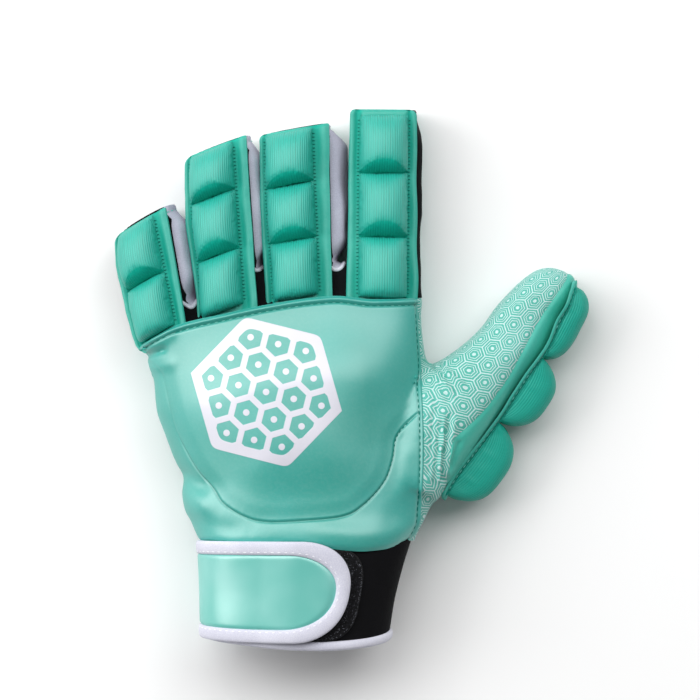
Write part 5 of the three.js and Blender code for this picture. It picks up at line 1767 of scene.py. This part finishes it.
# painted shade in the dip along both sewn sides of the thumb's strip
painted_shade_or_reverse_side = np.clip(0.9 * np.exp(-((np.abs(uu) - 0.86) / 0.06) ** 2), 0, 1).ravel()
ob = put("thumb_strip_cloth", v, fix_out(v, [quads])[0], MATS["flange"], sharp=60, painted_shade_or_reverse_side=np.r_[painted_shade_or_reverse_side, painted_shade_or_reverse_side])
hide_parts("thumb_strip")
for i, (v0, v1, rise) in enumerate(ts["pads"]):
    vm, vh = (v0 + v1) / 2, (v1 - v0) / 2

    def point(s, q, lift, vm=vm, vh=vh):
        w = vm - q * vh
        hi = thumb_top(w, 1.6)
        return thumb_side(w, (ts["pad_low"] + hi) / 2 + s * (hi - ts["pad_low"]) / 2, 1.15 + lift)
    mid = thumb_side(vm, 12.0, np.array([0.0, 1.0]))
    PADS.append(("thumb_pad_%d" % (i + 1), pad_grid(point, rise, profile=thumb_profile), 26.0, np.array([0, 0, 1.0]), mid[0] - mid[1]))
parts = []
w = np.linspace(ts["a"] + 0.3, ts["b"] - 0.3, 150)
for hi in (False, True):
    z = thumb_top(w, 1.1) if hi else np.full_like(w, ts["low"] + 1.0)
    l = 1.2 + 0.6 * smooth((w - 9.0) / 0.85) - (0.95 if hi else 0.0)
    p = thumb_side(w, z, l)
    up = thumb_side(w, z, l + 1.0) - p
    parts.append(stitches(p, up, 1.5, 0.8, 0.18, 0.02))
v, fl = merge(parts)
put("thumb_strip_thread", v, fl, MATS["thread"])


for k, (grid, (name, _, length, side, down)) in enumerate(zip(simulate([p[1] for p in PADS]), PADS)):
    kind = "thumb" if name.startswith("thumb") else "root" if name.endswith("_3") or name == "little_pad_2" else "finger"
    v, fl, uv, painted_shade_or_reverse_side = pad_mesh(grid, length, k + 1, down, side, kind)
    ob = put(name + "_knit", v, fl, MATS["knit"], uv=uv, painted_shade_or_reverse_side=painted_shade_or_reverse_side)
    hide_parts(name)


# -------------------------------------------------------- cuff and strap
def cuff_row(y):
    y = np.clip(y, -90.0, -57.9)
    return [cubic(CUFF[:, 0], CUFF[:, k], y) for k in range(1, 5)]


def on_cuff(t, y, lift, sag=None):
    t, y, lift = np.broadcast_arrays(np.asarray(t, float), np.asarray(y, float), np.asarray(lift, float))
    left, right, low, top = cuff_row(y)
    if sag is None:
        sag = CUFF_SAG * (0.5 + 0.5 * smooth((np.cos(t) + 1) / 1.3))
    a, b = (right - left) / 2, (top - low) / 2
    c, s = np.cos(t), np.sin(t)
    nx, nz = power(c, 1.15) / a, power(s, 1.15) / b
    nn = np.hypot(nx, nz)
    x = (right + left) / 2 + a * power(c, 0.85) + nx / nn * lift
    z = (top + low) / 2 + b * power(s, 0.85) + nz / nn * lift
    yy = y - sag * np.maximum(0, s) * smooth((-54.0 - y) / 38)
    return np.stack([x, yy, np.maximum(z, 0.05)], -1)


def cuff_normal(t, y):
    d = on_cuff(t, y, 2.0, 0.0) - on_cuff(t, y, 0.0, 0.0)
    return d / np.linalg.norm(d, axis=-1)[..., None]


def tube_ring(ys, lifts, count=200):
    """Closed ring through a profile of (y, lift) pairs round the wrist."""
    t = np.arange(count) / count * 2 * math.pi
    p = np.stack([on_cuff(t, np.full_like(t, y), np.full_like(t, l)) for y, l in zip(ys, lifts)], 1)
    m = len(ys)
    v = p.reshape(-1, 3)
    i, j = [a.ravel() for a in np.meshgrid(np.arange(count), np.arange(m), indexing="ij")]
    k, l = (i + 1) % count, (j + 1) % m
    q = np.stack([i * m + j, k * m + j, k * m + l, i * m + l], 1)
    return v, fix_out(v, [q])[0]


ys = np.r_[-54.0, -56.0, np.linspace(-57.0, -90.0, 34)]
outer = np.r_[-2.7, -2.0, -0.9, 0.35 * np.sin(np.linspace(0.05, 1, 33) * math.pi) - 0.35]
inner = np.r_[-4.2, -4.0, -3.4, np.full(33, -2.7)]
v, q = tube_ring(np.r_[ys, ys[::-1]], np.r_[outer, inner[::-1]])
v[:, 2] = np.maximum(v[:, 2], 1.0)
ob = put("cuff_neoprene", v, q, MATS["neoprene"], sharp=60)
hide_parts("cuff")
a = np.linspace(0, 2 * math.pi, 18, endpoint=False)
ys = -91.2 + 1.75 * np.sign(np.sin(a)) * np.abs(np.sin(a)) ** 0.7
lf = -1.25 + 1.95 * np.sign(np.cos(a)) * np.abs(np.cos(a)) ** 0.7
v, q = tube_ring(ys, lf, 240)
ob = put("cuff_binding_cloth", v, q, MATS["white"], sharp=60)
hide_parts("cuff_binding")


def angle_at(x, under=False):
    left, right, _, _ = cuff_row(np.float64(-76.0))
    c = (np.asarray(x, float) - (right + left) / 2) / ((right - left) / 2)
    t = np.arccos(np.sign(c) * np.minimum(1, np.abs(c)) ** (1 / 0.85))
    return 2 * math.pi - t if under else t


SM = (STRAP["top"] + STRAP["bottom"]) / 2
SH = (STRAP["top"] - STRAP["bottom"]) / 2


def strap_lift(t):
    """The strap stands on the loop patch near its end and lies on the cuff beyond it."""
    a, b = float(angle_at(-33.0)), float(angle_at(-19.0))
    return STRAP["low_lift"] + (STRAP["lift"] - STRAP["low_lift"]) * smooth((a - t) / (a - b))


def strap_x(k, inset):
    half = 1 - inset / SH
    q = np.minimum(1, np.abs(k) / half)
    return STRAP["end"] - inset - STRAP["nose"] * (1 - np.sqrt(np.maximum(0, 1 - q**2.2)))


def strap_sheet(inset, top, low, nu=150, nv=40):
    half = SH - inset
    u = np.linspace(0, 1, nu) ** 1.0
    w = np.sin(np.linspace(-1, 1, nv) * math.pi / 2)
    uu, ww = np.meshgrid(u, w, indexing="ij")
    k = ww * half / SH
    t0 = angle_at(strap_x(k, inset))
    t1 = angle_at(np.full_like(k, STRAP["back"]), True)
    t = t0 + (t1 - t0) * uu
    edge = np.minimum((1 - np.abs(ww)) * half, uu * 60)
    drop = 0.7 * np.exp(-(edge / 0.8) ** 2)
    wave = hash_noise(np.stack([t.ravel() * 3, ww.ravel() * 1.2, uu.ravel() * 0], 1), 61).reshape(uu.shape) * 0.25
    a = on_cuff(t, SM + ww * half, strap_lift(t) + top - drop + wave, STRAP["sag"]).reshape(-1, 3)
    b = on_cuff(t, SM + ww * half, strap_lift(t) + low, STRAP["sag"]).reshape(-1, 3)
    n = nu * nv
    fa = grid_faces(nu, nv)
    idx = np.arange(n).reshape(nu, nv)
    rim = np.r_[idx[:-1, 0], idx[-1, :-1], idx[::-1, -1][:-1], idx[0, ::-1][:-1]]
    nxt = np.roll(rim, -1)
    quads = np.vstack([fa, fa[:, ::-1] + n, np.stack([nxt, rim, rim + n, nxt + n], 1)])
    v = np.vstack([a, b])
    return v, fix_out(v, [quads])[0]


v, q = strap_sheet(STRAP["binding"] - 0.5, STRAP["thick"] - 0.25, 0.2)
ob = put("wrist_strap_face", v, q, MATS["strap"], sharp=60)
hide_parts("wrist_strap")


def strap_loop(inset, count=420):
    """(angle, y) along the strap's edge, from the back's upper edge round the end and back."""
    half = SH - inset
    t1 = float(angle_at(STRAP["back"], True))
    w = np.sin(np.linspace(1, -1, 160) * math.pi / 2)
    t0 = angle_at(strap_x(w * half / SH, inset))
    nose = np.stack([t0, SM + w * half], 1)
    long = np.linspace(t1, t0[0], 130)[:-1]
    a = np.stack([long, np.full(len(long), SM + half)], 1)
    b = np.stack([long[::-1], np.full(len(long), SM - half)], 1)
    line = np.vstack([a, nose, b])
    scale = np.array([30.0, 1.0])
    return resample(line * scale, count) / scale


outer, inner = strap_loop(0.0), strap_loop(STRAP["binding"])
# the two lines are matched point by point, both resampled evenly to the same count, so that the binding's width is even
prof = []
m = 15
a = np.linspace(0, math.pi, m)
rows = []
for k in range(m):
    w = 0.5 - 0.5 * math.cos(a[k])
    lift = STRAP["thick"] - 1.1 + 1.35 * math.sin(a[k]) ** 0.55
    rows.append((w, lift))
rows += [(0.98, -0.12), (0.5, -0.15), (0.02, -0.12)]
cols = []
for w, lift in rows:
    tt = outer[:, 0] * (1 - w) + inner[:, 0] * w
    yy = outer[:, 1] * (1 - w) + inner[:, 1] * w
    cols.append(on_cuff(tt, yy, strap_lift(tt) + lift, STRAP["sag"]))
p = np.stack(cols, 1)
nn_, mm_ = p.shape[:2]
i, j = [x.ravel() for x in np.meshgrid(np.arange(nn_ - 1), np.arange(mm_), indexing="ij")]
l = (j + 1) % mm_
q = np.stack([i * mm_ + j, (i + 1) * mm_ + j, (i + 1) * mm_ + l, i * mm_ + l], 1)
v = np.vstack([p.reshape(-1, 3), p[0].mean(0), p[-1].mean(0)])
t = np.arange(mm_)
u = (t + 1) % mm_
caps = np.vstack([np.stack([np.full(mm_, nn_ * mm_), t, u], 1), np.stack([np.full(mm_, nn_ * mm_ + 1), (nn_ - 1) * mm_ + u, (nn_ - 1) * mm_ + t], 1)])
ob = put("strap_binding_cloth", v, fix_out(v, [q, caps]), MATS["white"], sharp=70)
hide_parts("strap_binding")
line = strap_loop(STRAP["binding"] - 1.0, 600)
p = on_cuff(line[:, 0], line[:, 1], strap_lift(line[:, 0]) + STRAP["thick"], STRAP["sag"])
up = cuff_normal(line[:, 0], line[:, 1])
v, fl = stitches(p, up, 1.7, 0.8, 0.22, 0.0)
put("strap_thread", v, fl, MATS["thread_white"])

# loop fastener patch
nu, nv = 60, 70
LM, LH = (LOOP["top"] + LOOP["bottom"]) / 2, (LOOP["top"] - LOOP["bottom"]) / 2
u = np.linspace(0, 1, nu)
w = np.linspace(-1, 1, nv)
uu, ww = np.meshgrid(u, w, indexing="ij")
x = LOOP["right"] - LOOP["nose"] * (1 - np.sqrt(np.maximum(0, 1 - np.abs(ww) ** 3)))
t = angle_at(x) + (float(angle_at(LOOP["left"])) - angle_at(x)) * uu
edge = np.minimum((1 - np.abs(ww)) * LH, uu * 22)
fz = hash_noise(np.stack([uu.ravel() * 34, ww.ravel() * 46, uu.ravel() * 0], 1), 71).reshape(uu.shape)
a = on_cuff(t, LM + ww * LH, 0.35 + 0.85 * smooth(edge / 1.2) + 0.30 * fz * smooth(edge / 2.4)).reshape(-1, 3)
b = on_cuff(t, LM + ww * LH, np.full_like(t, 0.05)).reshape(-1, 3)
n = nu * nv
fa = grid_faces(nu, nv)
idx = np.arange(n).reshape(nu, nv)
rim = np.r_[idx[:-1, 0], idx[-1, :-1], idx[::-1, -1][:-1], idx[0, ::-1][:-1]]
nxt = np.roll(rim, -1)
quads = np.vstack([fa, fa[:, ::-1] + n, np.stack([nxt, rim, rim + n, nxt + n], 1)])
v = np.vstack([a, b])
ob = put("loop_patch_pile", v, fix_out(v, [quads])[0], MATS["pile"], sharp=60)
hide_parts("loop_patch")
parts = []
pick = np.random.default_rng(23)
ring = np.arange(5) / 5 * 2 * math.pi
for i in range(300):
    k = pick.uniform(-1, 1)
    back_ = (abs(pick.normal(0.2, 0.25)), 3.4 + pick.normal(0, 0.3), pick.uniform(0, 6))[i % 3]
    x0 = LOOP["right"] - LOOP["nose"] * (1 - math.sqrt(max(0, 1 - abs(k) ** 3))) - 0.5 - back_
    t0_, y0_ = float(angle_at(x0)), LM + k * (LH - 0.6)
    p0 = on_cuff(t0_, y0_, 1.05)
    up_ = cuff_normal(t0_, y0_)
    d = pick.normal(size=3)
    d -= up_ * (d @ up_)
    d /= np.linalg.norm(d)
    e = np.cross(up_, d)
    size = pick.uniform(0.12, 0.34)
    a_ = np.linspace(0, math.pi, 6)
    path = p0 + d * (np.cos(a_) * size)[:, None] + up_ * (np.sin(a_) * size * pick.uniform(0.5, 1.4) - 0.05)[:, None]
    v = path[:, None] + 0.065 * (e * np.cos(ring)[:, None] + up_ * np.sin(ring)[:, None])[None]
    f = grid_faces(6, 5)
    last = np.array([[j * 5 + 4, (j + 1) * 5 + 4, (j + 1) * 5, j * 5] for j in range(5)])
    parts.append((v.reshape(-1, 3), [np.vstack([f, last]), np.array([[0, 1, 2, 3, 4], [29, 28, 27, 26, 25]])]))
v, fl = merge(parts)
put("loop_patch_fuzz", v, fl, MATS["fuzz"])

# ---------------------------------------------------------- floor, light, camera
me = bpy.data.meshes.new("floor")
me.from_pydata([(-3, -3, 0), (3, -3, 0), (3, 3, 0), (-3, 3, 0)], [], [(0, 1, 2, 3)])
floor = bpy.data.objects.new("floor", me)
bpy.context.scene.collection.objects.link(floor)
fm = Nodes("floor_pale")
fm.set(Base_Color=fm.mix(fm.noise(3.0), (0.90, 0.90, 0.90, 1), (0.94, 0.94, 0.94, 1)), Roughness=0.9)
me.materials.append(fm.mat)
floor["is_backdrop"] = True


def area(name, loc, aim, size, power_w, color=(1, 1, 1)):
    l = bpy.data.lights.new(name, "AREA")
    l.shape = "DISK"
    l.size = size
    l.energy = power_w
    l.color = color
    o = bpy.data.objects.new(name, l)
    o.location = loc
    o.rotation_euler = (Vector(aim) - Vector(loc)).to_track_quat("-Z", "Y").to_euler()
    bpy.context.scene.collection.objects.link(o)


area("soft", (-0.55, 0.88, 1.45), (0, 0, 0.02), 1.5, 18)
area("left", (-1.25, 0.30, 0.80), (0, 0, 0.02), 1.2, 15)
area("fill", (0.68, 0.80, 1.20), (0, 0, 0.02), 1.2, 11.5)
world = bpy.data.worlds.new("studio")
world.use_nodes = True
world.node_tree.nodes["Background"].inputs[0].default_value = (1, 1, 1, 1)
world.node_tree.nodes["Background"].inputs[1].default_value = 0.20
bpy.context.scene.world = world
bpy.context.scene.view_settings.view_transform = "Standard"

cam = bpy.data.cameras.new("camera")
cam.sensor_width = 36
cam.lens = 400
cam.clip_end = 10
camera = bpy.data.objects.new("camera", cam)
dist = 0.252 * 400 / 36
camera.location = (-0.0011, 0.01067, 0.022 + dist)
camera.rotation_euler = (0, 0, 0)
bpy.context.scene.collection.objects.link(camera)
bpy.context.scene.camera = camera


def plain(x):
    return [[float(c) for c in p] for p in x] if hasattr(x[0], "__len__") else [float(c) for c in x]


{"cad": plain(CAD_BOX), "visual": plain(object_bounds())}
